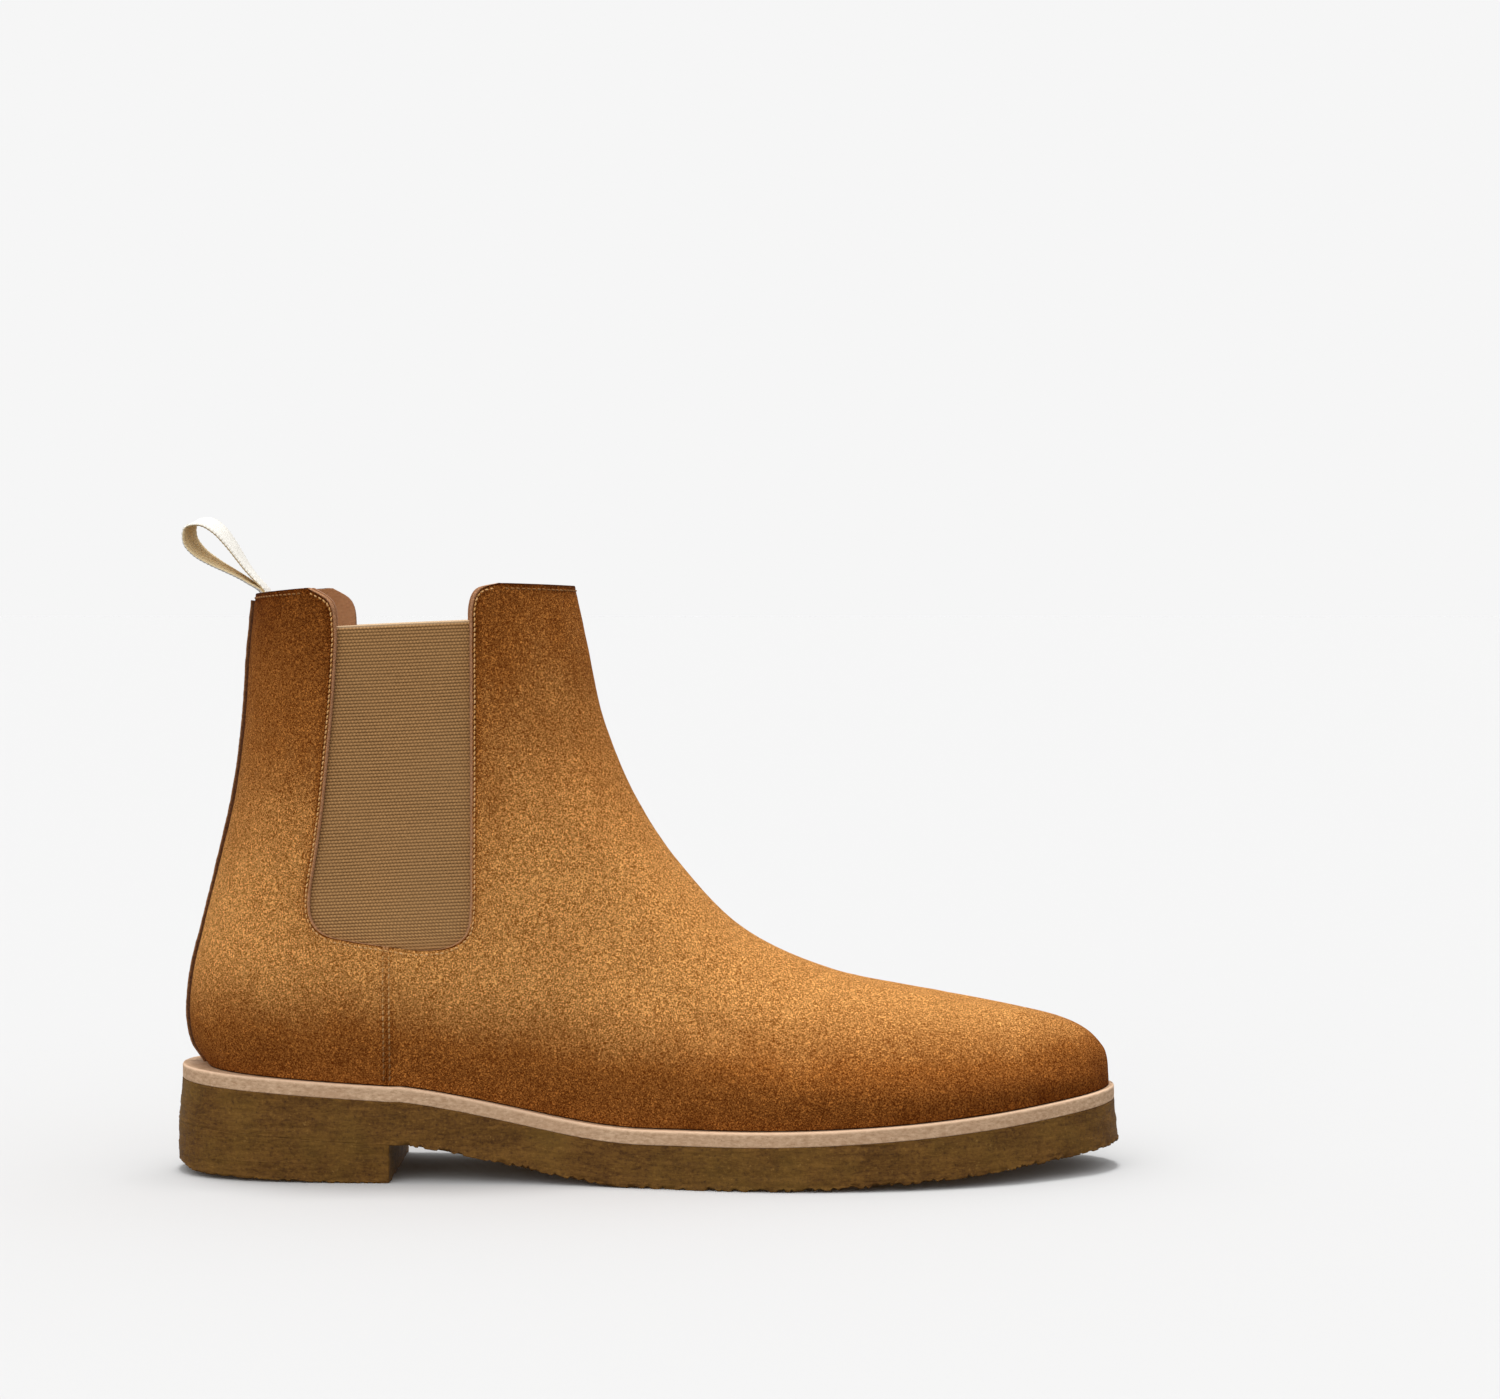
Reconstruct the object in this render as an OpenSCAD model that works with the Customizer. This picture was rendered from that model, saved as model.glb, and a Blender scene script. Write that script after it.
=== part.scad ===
// Chelsea boot for a right foot: suede upper with elastic side gussets,
// leather midsole, crepe outsole and a stacked crepe heel.
// X runs from the heel to the toe, +Y is the medial (inner) side, Z is up.
// The origin is at floor level, at the middle of the sole's length and width.

/* [Size] */
// Length of the outsole, heel to toe
sole_length = 300; // [270:1:320]

/* [Sole] */
// Thickness of the crepe outsole
outsole_t = 13.3; // [8:0.1:16]
// Thickness of the leather midsole
midsole_t = 4.6; // [3:0.1:6]
// Height of the heel block at its back
heel_back_h = 16.3; // [14:0.1:20]
// Height of the heel block at its front face
heel_front_h = 11.8; // [10:0.1:13]
// Distance from the back of the sole to the heel's front face
heel_length = 70; // [62:1:78]
// Thickness of the lowest layer of the heel
top_piece_t = 6; // [4:0.5:8]
// Rise of the toe above the floor
toe_spring = 8.6; // [5:0.1:12]
// Outward flare of the outsole's edge, from its top to its bottom
sole_flare = 1.3; // [0.5:0.1:2]

/* [Upper] */
// Thickness of the suede
suede_t = 1.4; // [1:0.1:1.5]
// Thickness of the elastic gussets
elastic_t = 1.2; // [0.8:0.1:1.3]
// Thickness of the toe puff and the heel counter
stiffener_t = 1.0; // [0.6:0.1:1.3]
// Thickness of the lining leather
lining_t = 0.9; // [0.6:0.1:1.1]
// Height of the raised strip along the back seam
strip_h = 1.4; // [0.8:0.1:2]
// Thickness of the raised strip along the back seam
strip_w = 1.1; // [0.8:0.1:1.3]
// Distance from a suede edge to its stitching
stitch_inset = 2; // [1.5:0.1:3]
// Thickness of the sewing thread
thread_d = 0.55; // [0.4:0.05:0.7]

/* [Pull loop] */
// Width of the webbing
webbing_w = 15; // [12:1:18]
// Thickness of the webbing
webbing_t = 1.4; // [1:0.1:1.4]
// Angle of the loop above the horizontal, leaning back
loop_lean = 42; // [35:1:60]
// Twist of the loop about its own length, from its seam to its end
loop_twist = 9; // [0:1:15]
// Depth that the webbing's ends run down inside the upper
anchor_depth = 14; // [10:1:16]

/* [Inner bottom] */
// Thickness of the insole board
board_t = 2.2; // [1.5:0.1:2.5]
// Thickness of the foam pad under the heel
pad_t = 3; // [1:0.1:4]
// Thickness of the sock liner
sock_t = 1; // [0.6:0.1:1.5]
// Thickness of the steel shank
shank_t = 1.2; // [0.8:0.1:1.4]

/* [Hidden] */

// All shapes below are drawn for a sole of this length and then scaled
DRAWN_LENGTH = 300;
// Clearance between two layers of the upper
GAP = 0.25;
// Clearance between the upper's lower edge and the midsole
FEATHER_GAP = 0.3;
// Depth of a stiffener or an elastic below the outer face of the suede
MID_DEPTH = suede_t + GAP;
// Depth of the lining where it lies against the suede, and where a layer is between
LINING_DEPTH = suede_t + GAP;
LINING_DEPTH_UNDER = suede_t + elastic_t + 3 * GAP;

// Half widths of the sole from the middle line, at equal steps of the angle that
// runs from 0 at the heel to 180 at the toe
LATERAL = [0, 17.5, 29, 34.3, 35.2, 36.8, 46, 53.6, 51.6, 41.5, 26, 11, -6];
MEDIAL = [0, 17.5, 28.5, 33, 31.2, 28.2, 35, 45.5, 49, 43, 33, 21.5, 6];
// Sideways place of the toe's tip
TOE_Y = 6;
// First and last angle of an outline
END_ANGLE = 3;
// Stations along an outline
STATIONS = 34;
// Distance from the sole's edge to the upper, at the sides
WELT = 4.3;

// Profile of the heel and of the front, as [x, z], from the midsole to the topline
BACK = [[9.5, feather(9.5)], [5, 40.5], [3.5, 49], [4, 58], [5.5, 67], [8, 76.5],
    [13.5, 98.5], [18.5, 120.5], [21.5, 142.5], [23, 163.5], [25, 183]];
FRONT = [[297, feather(297)], [294.8, 38.5], [281, 48], [244, 56], [208.5, 63], [179.5, 76.5],
    [158.5, 98.5], [144.5, 120.5], [135.6, 142.5], [130.9, 163.5], [126.3, 185.5]];
// How far the topline stands above a straight line at its sides
TAB_RISE = 2;
// Half widths of the shaft at the same heights
SHAFT_LATERAL = [31.5, 33.8, 34.6, 34.4, 33.6, 32.6, 31, 30.4, 30.6, 31.2, 31.6];
SHAFT_MEDIAL = [30.5, 32.6, 33.6, 33.4, 32.6, 31.6, 30.4, 30, 30.2, 30.8, 31.2];
// Lengths of the round back and of the round front of the shaft
SHAFT_BACK_ROUND = 36;
SHAFT_FRONT_ROUND = 58;
// Exponent of the foot's cross-section, a little squarer than a circle's
SECTION_POWER = 2.15;

// Side seam, and the two sides of the gusset opening as [x, z]
SEAM_X = 69;
SEAM_TOP = 73.5;
GUSSET_REAR = [[SEAM_X, SEAM_TOP], [59, 75], [50.5, 77], [46, 82], [45.5, 90], [47.5, 103],
    [49.5, 118], [51, 133], [52.5, 148], [53.5, 162], [53.6, 171], [51.4, 179], [44, 184.4]];
GUSSET_FRONT = [[SEAM_X, SEAM_TOP], [79, 72.3], [88, 73.3], [93.7, 77.5], [95, 86], [95, 102],
    [95, 119], [95, 136], [95, 153], [95, 170.5], [95.2, 179.5], [97.6, 184.6], [103.5, 186.3]];
// Outline of the elastic panel, which runs on under the suede
ELASTIC_REAR = [[52, 70.5], [43.5, 75], [40, 84], [41.5, 100], [44, 120], [46, 142],
    [47.5, 160], [48, 172.5]];
ELASTIC_FRONT = [[88, 68], [96.5, 71.5], [101, 81], [101, 98], [101, 118], [101, 138],
    [101, 158], [101, 175]];
ELASTIC_COLS = 9;
ELASTIC_ROWS = 14;

// Rows and columns of the panels, and the share of the rows along the side seam
ROWS = 22;
SEAM_SHARE = 7 / ROWS;
VAMP_COLS = 28;
QUARTER_COLS = 9;
// Angles that keep the suede and the lining clear of the back seam
SUEDE_BACK_ANGLE = 1.2;
LINING_BACK_ANGLE = 0.4;
// Half of the gap at the side seam
SEAM_GAP = 0.1;

// Where the pull loop turns, [x, z], and its outline along and across its length
LOOP_PIVOT = [26.3, 185];
LOOP_HALF = [[0, 0.75], [5, 1.3], [10.5, 2.6], [16.5, 4.1], [22, 4.9], [26.8, 3.9]];
LOOP_END = [29.6, 0];
LOOP_RINGS = 40;

// Heights above the midsole of the parts inside the boot
BOTTOM_Z = 0.5;
BOARD_Z = 2.5;
SOCK_Z = BOARD_Z + board_t + 0.3;
FILLER_T = 1.6;

SUEDE = "#b8792f";
SUEDE_DARK = "#6b4018";
ELASTIC = "#8f7350";
LINING = "#b9753f";
WEBBING = "#ece6d6";
THREAD = "#e0b070";
CREPE = "#7f6636";
MIDSOLE = "#c6a283";
FIBRE = "#9a7f5e";

// ---- curves ----

// Control point k of a curve, carried on in a straight line past its ends
function knot(c, k) =
    k < 0 ? 2 * c[0] - c[1] :
    k > len(c) - 1 ? 2 * c[len(c) - 1] - c[len(c) - 2] :
    c[k];

function catmull(a, b, c, d, f) =
    0.5 * (2 * b + (c - a) * f + (2 * a - 5 * b + 4 * c - d) * f * f
        + (3 * b - a - 3 * c + d) * f * f * f);

// Smooth curve through equally spaced control points, u from 0 to 1
function spline(c, u) =
    let (n = len(c) - 1, s = min(max(u, 0), 1) * n, i = min(floor(s), n - 1))
    catmull(knot(c, i - 1), c[i], c[i + 1], knot(c, i + 2), s - i);

// Rises smoothly from 0 at a to 1 at b
function smooth(x, a, b) =
    let (f = min(max((x - a) / (b - a), 0), 1))
    f * f * (3 - 2 * f);

function mix(a, b, f) = a + (b - a) * f;

function unit(v) = v / norm(v);

// ---- sole ----

// Height of the outsole's underside, which is the top of the heel block at the heel
function underside(x) =
    let (heel = mix(heel_back_h, heel_front_h, x / heel_length),
        arch = min(heel_front_h, 1.08 * heel_front_h * (1 - smooth(x, 58, 150))),
        toe = toe_spring * pow(max(x - 172, 0) / 128, 1.9))
    (x < heel_length ? heel : arch) + toe;

// Height of the midsole's top, where the upper meets it
function feather(x) = underside(x) + outsole_t + midsole_t;

// Half width of the sole at x for an outline that runs from x0 to x1, moved in by inset
function half_width(side, x, x0, x1, inset) =
    let (angle = acos(min(max(1 - 2 * (x - x0) / (x1 - x0), -1), 1)))
    spline(side, angle / 180) - inset * sin(angle);

// Two rows of points, lateral and medial, along an outline between from_x and to_x
function outline(x0, x1, inset, from_x, to_x) =
    let (a0 = max(END_ANGLE, acos(1 - 2 * max(from_x - x0, 0) / (x1 - x0))),
        a1 = min(180 - END_ANGLE, acos(max(1 - 2 * (to_x - x0) / (x1 - x0), -1))),
        n = ceil(STATIONS * (a1 - a0) / 180),
        xs = [for (i = [0:n]) x0 + (x1 - x0) * (1 - cos(mix(a0, a1, i / n))) / 2])
    [[for (x = xs) [x, -half_width(LATERAL, x, x0, x1, inset)]],
        [for (x = xs) [x, half_width(MEDIAL, x, x0, x1, inset)]]];

// Outline of the sole's edge, moved in by the same distance all round
function sole_outline(inset, from_x = 0, to_x = DRAWN_LENGTH) =
    outline(inset, DRAWN_LENGTH - inset, inset, from_x, to_x);

// Outline of a part inside the upper, at a distance from the suede's outer face
function inner_outline(distance, from_x = 0, to_x = DRAWN_LENGTH) =
    outline(BACK[0][0] + distance, FRONT[0][0] - distance, WELT + distance, from_x, to_x);

// ---- surface of the upper ----

// Heights of the front profile over x
RIDGE_STEPS = 300;
RIDGE = [for (i = [0:RIDGE_STEPS]) spline(FRONT, i / RIDGE_STEPS)];
RIDGE_TOP = FRONT[len(FRONT) - 1];
function ridge_height(x) =
    x < RIDGE_TOP[0] ? RIDGE_TOP[1] + 6 * (RIDGE_TOP[0] - x) : lookup(x, RIDGE);

// Sideways place of the front profile, which turns to the medial side at the toe
function ridge_y(x) = TOE_Y * smooth(x, 140, 296);

// Height at x on row t; the rows leave the midsole's curve and level out
function row_height(x, t, a) =
    let (k = pow(max(1 - 2 * t, 0), 1.5))
    mix(spline(BACK, t)[1], spline(FRONT, t)[1], a) + TAB_RISE * smooth(t, 0.8, 1) * 4 * a * (1 - a)
        + k * (feather(x) - mix(BACK[0][1], FRONT[0][1], a));

// Half width of the upper at its widest, on row t
function side_width(plan, shaft, x, t) =
    let (back = spline(BACK, t)[0],
        xb = x - (back - BACK[0][0]) * (1 - smooth(x - back, 0, 80)),
        foot = half_width(plan, xb, BACK[0][0], FRONT[0][0], WELT),
        round = min(max(1 - (xb - BACK[0][0]) / SHAFT_BACK_ROUND, 0), 1),
        tube = spline(shaft, t) * sqrt(1 - round * round),
        to_tube = max(smooth(t, 0, 0.45) * (1 - smooth(x, 95, 165)), smooth(t, 0.5, 0.8)))
    mix(foot, tube, to_tube);

// Outer face of the upper. Angle 0 is the heel, 180 the front, 0 to 180 the lateral
// side and 180 to 360 the medial side. t is 0 at the midsole and 1 at the topline.
function skin(angle, t) =
    let (th = angle < 0 ? angle + 360 : angle > 360 ? angle - 360 : angle,
        medial = th > 180,
        a = (1 - cos(th)) / 2,
        front_x = spline(FRONT, t)[0],
        x = mix(spline(BACK, t)[0], front_x, a),
        z = row_height(x, t, a),
        low = feather(x),
        u = min(max((z - low) / max(ridge_height(x) - low, 0.01), 0), 1),
        v = min(max((front_x - x) / SHAFT_FRONT_ROUND, 0), 1),
        to_shaft = smooth(t, 0.5, 0.8),
        section = mix(sqrt(max(1 - pow(u, SECTION_POWER), 0)), sqrt(1 - (1 - v) * (1 - v)), to_shaft),
        bulge = 1.9 * sin(180 * min(2.2 * u, 1)) * sqrt(abs(sin(th))) * (1 - to_shaft) * smooth(x, 60, 120),
        c = ridge_y(x),
        width = medial ? side_width(MEDIAL, SHAFT_MEDIAL, x, t) - c
            : side_width(LATERAL, SHAFT_LATERAL, x, t) + c)
    [x, c + (medial ? 1 : -1) * (width * section + bulge), z];

function outward(angle, t) =
    let (along = skin(angle + 2, t) - skin(angle - 2, t),
        up = skin(angle, t + 0.002) - skin(angle, t - 0.002))
    unit(cross(along, up));

// Point at a depth below the outer face, kept above the midsole
function under(angle, t, depth) =
    let (p = skin(angle, t) - depth * outward(angle, t))
    [p[0], p[1], max(p[2], feather(p[0]) + FEATHER_GAP)];

// Row at which the surface reaches height z over x, found by halving
function find_row(x, z, low = 0, high = 1, steps = 16) =
    let (t = (low + high) / 2, back = spline(BACK, t)[0],
        a = min(max((x - back) / (spline(FRONT, t)[0] - back), 0), 1))
    steps == 0 ? t :
    row_height(x, t, a) < z ? find_row(x, z, t, high, steps - 1) :
    find_row(x, z, low, t, steps - 1);

// Surface place [angle, t] of a point [x, z] seen from the side
function place(p) =
    let (t = find_row(p[0], p[1]), back = spline(BACK, t)[0],
        a = (p[0] - back) / (spline(FRONT, t)[0] - back))
    [acos(1 - 2 * min(max(a, 0), 1)), t];

// ---- panels, as grids of surface places ----

// Edge of a panel: up the side seam, round the gusset and to the topline
function panel_edge(curve, v) =
    v < SEAM_SHARE
        ? [SEAM_X, mix(feather(SEAM_X), SEAM_TOP, v / SEAM_SHARE)]
        : spline(curve, (v - SEAM_SHARE) / (1 - SEAM_SHARE));
FRONT_EDGE = [for (r = [0:ROWS]) place(panel_edge(GUSSET_FRONT, r / ROWS) + [SEAM_GAP, 0])];
REAR_EDGE = [for (r = [0:ROWS]) place(panel_edge(GUSSET_REAR, r / ROWS) - [SEAM_GAP, 0])];

// Front panel, u from the lateral edge to the medial edge, v from the midsole up
function vamp_place(u, v) =
    let (e = spline(FRONT_EDGE, v))
    [mix(e[0], 360 - e[0], u), mix(e[1], v, sin(180 * u))];
VAMP_GRID = [for (r = [0:ROWS]) [for (c = [0:VAMP_COLS]) vamp_place(c / VAMP_COLS, r / ROWS)]];

// Rear panel, u from the back seam to the side edge, v from the midsole up
function quarter_place(u, v, back_angle) =
    let (e = spline(REAR_EDGE, v))
    [mix(back_angle, e[0], u), mix(pow(v, 0.85), e[1], u)];
function quarter_grid(back_angle) =
    [for (r = [0:ROWS]) [for (c = [0:QUARTER_COLS]) quarter_place(c / QUARTER_COLS, r / ROWS, back_angle)]];

// The same places on the other side of the boot
function other_side(grid) =
    [for (row = grid) [for (c = [len(row) - 1:-1:0]) [360 - row[c][0], row[c][1]]]];

// Elastic panel, between its own rear and front edges
ELASTIC_GRID = [for (r = [0:ELASTIC_ROWS]) let (v = r / ELASTIC_ROWS)
    [for (c = [0:ELASTIC_COLS])
        place(mix(spline(ELASTIC_REAR, v), spline(ELASTIC_FRONT, v), c / ELASTIC_COLS))]];

// Toe puff: the front part of the vamp's grid
PUFF_ROWS = 6;
PUFF_COLS = [8, 20];
PUFF_GRID = [for (r = [0:PUFF_ROWS]) [for (c = [PUFF_COLS[0]:PUFF_COLS[1]]) VAMP_GRID[r][c]]];

// Heel counter: both quarters' grids, highest at the back and lower towards the front
COUNTER_ROWS = 6;
COUNTER_COLS = 8;
function counter_top(u) = mix(0.37, 0.18, u * u);
COUNTER_GRID = [for (r = [0:COUNTER_ROWS]) [for (c = [-COUNTER_COLS:COUNTER_COLS])
    let (u = abs(c) / QUARTER_COLS, p = quarter_place(u, counter_top(u) * r / COUNTER_ROWS, 0))
    [c < 0 ? -p[0] : p[0], p[1]]]];

// Ends of the webbing, sewn in between the suede and the lining
ANCHOR_ANGLE = webbing_w * 0.75;
ANCHOR_GRID = [for (r = [0:3]) [for (c = [-4:4])
    [c * ANCHOR_ANGLE / 4, 1 - anchor_depth / 205 * (1 - r / 3)]]];

// 1 where an elastic, a stiffener or the webbing lies between the suede and the lining
function layer_between(p) =
    max(smooth(p[2], 58, 64) * smooth(p[0], 28, 36) * (1 - smooth(p[0], 106, 118)),
        smooth(p[0], 190, 201),
        (1 - smooth(p[0], 62, 70)) * (1 - smooth(p[2], 78, 88)),
        (1 - smooth(p[0], 36, 44)) * smooth(p[2], 150, 160));

function lining_depth(angle, t) =
    mix(LINING_DEPTH, LINING_DEPTH_UNDER, layer_between(skin(angle, t)));

// ---- solids ----

// Closed sheet between an outer and an inner grid of points
module sheet(outer, inner) {
    rows = len(outer) - 1;
    cols = len(outer[0]) - 1;
    n = (rows + 1) * (cols + 1);
    function o(r, c) = r * (cols + 1) + c;
    function i(r, c) = n + o(r, c);
    function quad(a, b, c, d) = [[a, b, c], [a, c, d]];
    polyhedron(
        points = [for (grid = [outer, inner]) for (row = grid) for (p = row) p],
        faces = [
            for (r = [0:rows - 1]) for (c = [0:cols - 1])
                each quad(o(r, c), o(r + 1, c), o(r + 1, c + 1), o(r, c + 1)),
            for (r = [0:rows - 1]) for (c = [0:cols - 1])
                each quad(i(r, c), i(r, c + 1), i(r + 1, c + 1), i(r + 1, c)),
            for (r = [0:rows - 1]) each quad(o(r + 1, 0), o(r, 0), i(r, 0), i(r + 1, 0)),
            for (r = [0:rows - 1])
                each quad(o(r, cols), o(r + 1, cols), i(r + 1, cols), i(r, cols)),
            for (c = [0:cols - 1]) each quad(o(0, c), o(0, c + 1), i(0, c + 1), i(0, c)),
            for (c = [0:cols - 1])
                each quad(o(rows, c + 1), o(rows, c), i(rows, c), i(rows, c + 1))
        ]);
}

// Layer of the upper over a grid of places, from one depth to another
module layer(grid, depth, thickness) {
    sheet([for (row = grid) [for (p = row) under(p[0], p[1], depth)]],
        [for (row = grid) [for (p = row) under(p[0], p[1], depth + thickness)]]);
}

// Lining over a grid of places, which dips under the layers between
module lining(grid) {
    sheet([for (row = grid) [for (p = row) under(p[0], p[1], lining_depth(p[0], p[1]))]],
        [for (row = grid) [for (p = row) under(p[0], p[1], lining_depth(p[0], p[1]) + lining_t)]]);
}

// Slab that follows the sole's curve between two heights above a base line
module slab(top_outline, top, bottom_outline, bottom) {
    sheet([for (row = top_outline) [for (p = row) [p[0], p[1], top(p[0])]]],
        [for (row = bottom_outline) [for (p = row) [p[0], p[1], bottom(p[0])]]]);
}

// Bar swept along points, with a list of corner points for each ring
module sweep(rings) {
    n = len(rings);
    k = len(rings[0]);
    function at(r, c) = r * k + c % k;
    polyhedron(
        points = [for (ring = rings) for (p = ring) p],
        faces = [
            for (r = [0:n - 2]) for (c = [0:k - 1])
                each [[at(r, c), at(r, c + 1), at(r + 1, c + 1)],
                    [at(r, c), at(r + 1, c + 1), at(r + 1, c)]],
            [for (c = [k - 1:-1:0]) at(0, c)],
            [for (c = [0:k - 1]) at(n - 1, c)]
        ]);
}

// Sewing thread lying on the suede along a row of surface places
module thread(places) {
    n = len(places) - 1;
    lift = GAP + thread_d / 2;
    centres = [for (p = places) skin(p[0], p[1]) + lift * outward(p[0], p[1])];
    h = thread_d / 2;
    sweep([for (k = [0:n])
        let (along = unit(centres[min(k + 1, n)] - centres[max(k - 1, 0)]),
            up = outward(places[k][0], places[k][1]),
            side = unit(cross(along, up)))
        [for (s = [[1, 1], [1, -1], [-1, -1], [-1, 1]]) centres[k] + h * (s[0] * side + s[1] * up)]]);
}

// Scaled to the sole's length, with the origin at the middle of the sole
SOLE_EDGE = sole_outline(0);
MIDDLE_Y = (max([for (p = SOLE_EDGE[1]) p[1]]) + min([for (p = SOLE_EDGE[0]) p[1]])) / 2;
module placed() {
    scale(sole_length / DRAWN_LENGTH)
        translate([-DRAWN_LENGTH / 2, -MIDDLE_Y, 0])
            children();
}

// ---- upper ----

module vamp() {
    color(SUEDE) placed() layer(VAMP_GRID, 0, suede_t);
}

module lateral_quarter() {
    color(SUEDE) placed() layer(quarter_grid(SUEDE_BACK_ANGLE), 0, suede_t);
}

module medial_quarter() {
    color(SUEDE) placed() layer(other_side(quarter_grid(SUEDE_BACK_ANGLE)), 0, suede_t);
}

// Narrow strip between the quarters, standing proud all the way up the heel
module back_seam_strip() {
    steps = 18;
    h = strip_w / 2;
    color(SUEDE_DARK) placed()
        sweep([for (k = [0:steps])
            let (t = mix(0.01, 0.985, k / steps), out = under(0, t, -strip_h), in = under(0, t, suede_t))
            [[out[0], -h, out[2]], [in[0], -h, in[2]], [in[0], h, in[2]], [out[0], h, out[2]]]]);
}

module lateral_gusset() {
    color(ELASTIC) placed() layer(ELASTIC_GRID, MID_DEPTH, elastic_t);
}

module medial_gusset() {
    color(ELASTIC) placed() layer(other_side(ELASTIC_GRID), MID_DEPTH, elastic_t);
}

module toe_puff() {
    color(FIBRE) placed() layer(PUFF_GRID, MID_DEPTH, stiffener_t);
}

module heel_counter() {
    color(FIBRE) placed() layer(COUNTER_GRID, MID_DEPTH, stiffener_t);
}

module vamp_lining() {
    color(LINING) placed() lining(VAMP_GRID);
}

module lateral_quarter_lining() {
    color(LINING) placed() lining(quarter_grid(LINING_BACK_ANGLE));
}

module medial_quarter_lining() {
    color(LINING) placed() lining(other_side(quarter_grid(LINING_BACK_ANGLE)));
}

// ---- pull loop ----

// Line of the folded webbing, [along, across], from its seam up the front and back down
LOOP_LINE = [each LOOP_HALF, LOOP_END,
    for (k = [len(LOOP_HALF) - 1:-1:0]) [LOOP_HALF[k][0], -LOOP_HALF[k][1]]];

// Place of a point of the loop: s along it, q across it, y over the webbing's width
function loop_point(s, q, y) =
    let (turn = loop_twist * smooth(s, 0, LOOP_END[0]),
        across = q * cos(turn) + y * sin(turn),
        wide = y * cos(turn) - q * sin(turn))
    [LOOP_PIVOT[0] - s * cos(loop_lean) + across * sin(loop_lean), wide,
        LOOP_PIVOT[1] + s * sin(loop_lean) + across * cos(loop_lean)];

module pull_loop() {
    h = webbing_w / 2;
    color(WEBBING) placed()
        sweep([for (k = [0:LOOP_RINGS])
            let (u = k / LOOP_RINGS,
                p = spline(LOOP_LINE, u),
                along = unit(spline(LOOP_LINE, u + 0.002) - spline(LOOP_LINE, u - 0.002)),
                n = [-along[1], along[0]] * webbing_t / 2)
            [for (e = [[1, -1], [1, 1], [-1, 1], [-1, -1]])
                loop_point(p[0] + e[0] * n[0], p[1] + e[0] * n[1], e[1] * h)]]);
}

module pull_loop_anchor() {
    color(WEBBING) placed() layer(ANCHOR_GRID, MID_DEPTH, elastic_t);
}

// ---- inside the bottom ----

function pad_rise(x) = pad_t * (1 - smooth(x, 58, 88));

module insole_board() {
    edge = inner_outline(5.8);
    color(FIBRE) placed()
        slab(edge, function(x) feather(x) + BOARD_Z + board_t, edge, function(x) feather(x) + BOARD_Z);
}

module shank() {
    from_x = 60;
    to_x = 152;
    half = 6;
    steps = 10;
    rows = [for (y = [-half, half]) [for (k = [0:steps]) [mix(from_x, to_x, k / steps), y]]];
    color("#a7a9ad") placed()
        slab(rows, function(x) feather(x) + BOTTOM_Z + shank_t, rows, function(x) feather(x) + BOTTOM_Z);
}

module bottom_filler() {
    edge = inner_outline(14, 158, 270);
    color("#a8855a") placed()
        slab(edge, function(x) feather(x) + BOTTOM_Z + FILLER_T, edge, function(x) feather(x) + BOTTOM_Z);
}

module heel_pad() {
    edge = inner_outline(9, 0, 80);
    color("#d9cdb4") placed()
        slab(edge, function(x) feather(x) + SOCK_Z + pad_rise(x), edge, function(x) feather(x) + SOCK_Z);
}

module sock_liner() {
    clear = 0.25;
    edge = inner_outline(6.4);
    color(LINING) placed()
        slab(edge, function(x) feather(x) + SOCK_Z + pad_rise(x) + clear + sock_t,
            edge, function(x) feather(x) + SOCK_Z + pad_rise(x) + clear);
}

// ---- sole ----

module midsole() {
    edge = sole_outline(sole_flare);
    color(MIDSOLE) placed()
        slab(edge, function(x) feather(x), edge, function(x) underside(x) + outsole_t);
}

module outsole() {
    color(CREPE) placed()
        slab(sole_outline(sole_flare), function(x) underside(x) + outsole_t,
            sole_outline(0), function(x) underside(x));
}

module heel_lift() {
    edge = sole_outline(0, 0, heel_length);
    color(CREPE) placed()
        slab(edge, function(x) mix(heel_back_h, heel_front_h, x / heel_length),
            edge, function(x) top_piece_t);
}

module heel_top_piece() {
    edge = sole_outline(0, 0, heel_length);
    color(CREPE) placed()
        slab(edge, function(x) top_piece_t, edge, function(x) 0);
}

// ---- stitching ----

// Surface place beside the gusset's edge, on the suede; side is -1 behind, 1 in front
function beside_edge(curve, u, side) =
    let (p = spline(curve, u),
        d = unit(spline(curve, min(u + 0.01, 1)) - spline(curve, max(u - 0.01, 0))))
    place(p + stitch_inset * side * [d[1], -d[0]]);

STITCH_STEPS = 20;
GUSSET_ROW = [
    for (k = [STITCH_STEPS:-1:1]) beside_edge(GUSSET_REAR, k / STITCH_STEPS, -1),
    place([SEAM_X, SEAM_TOP - stitch_inset]),
    for (k = [1:STITCH_STEPS]) beside_edge(GUSSET_FRONT, k / STITCH_STEPS, 1)];

// Two rows, one each side of the side seam
SIDE_ROWS = [for (dx = [-1.3, 1.3]) [for (k = [0:6])
    place([SEAM_X + dx, mix(feather(SEAM_X) + 1.5, SEAM_TOP - 1.4 * stitch_inset, k / 6)])]];

function mirrored(row) = [for (p = row) [360 - p[0], p[1]]];

module lateral_gusset_stitching() {
    color(THREAD) placed() thread(GUSSET_ROW);
}

module medial_gusset_stitching() {
    color(THREAD) placed() thread(mirrored(GUSSET_ROW));
}

module lateral_side_stitching() {
    color(THREAD) placed() for (row = SIDE_ROWS) thread(row);
}

module medial_side_stitching() {
    color(THREAD) placed() for (row = SIDE_ROWS) thread(mirrored(row));
}

// Rows below the topline: over the front, and on each side of the back seam
TOPLINE_T = 0.99;
FRONT_TAB_ANGLE = FRONT_EDGE[ROWS][0] + 3;
BACK_TAB_ANGLE = REAR_EDGE[ROWS][0] - 3;

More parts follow.
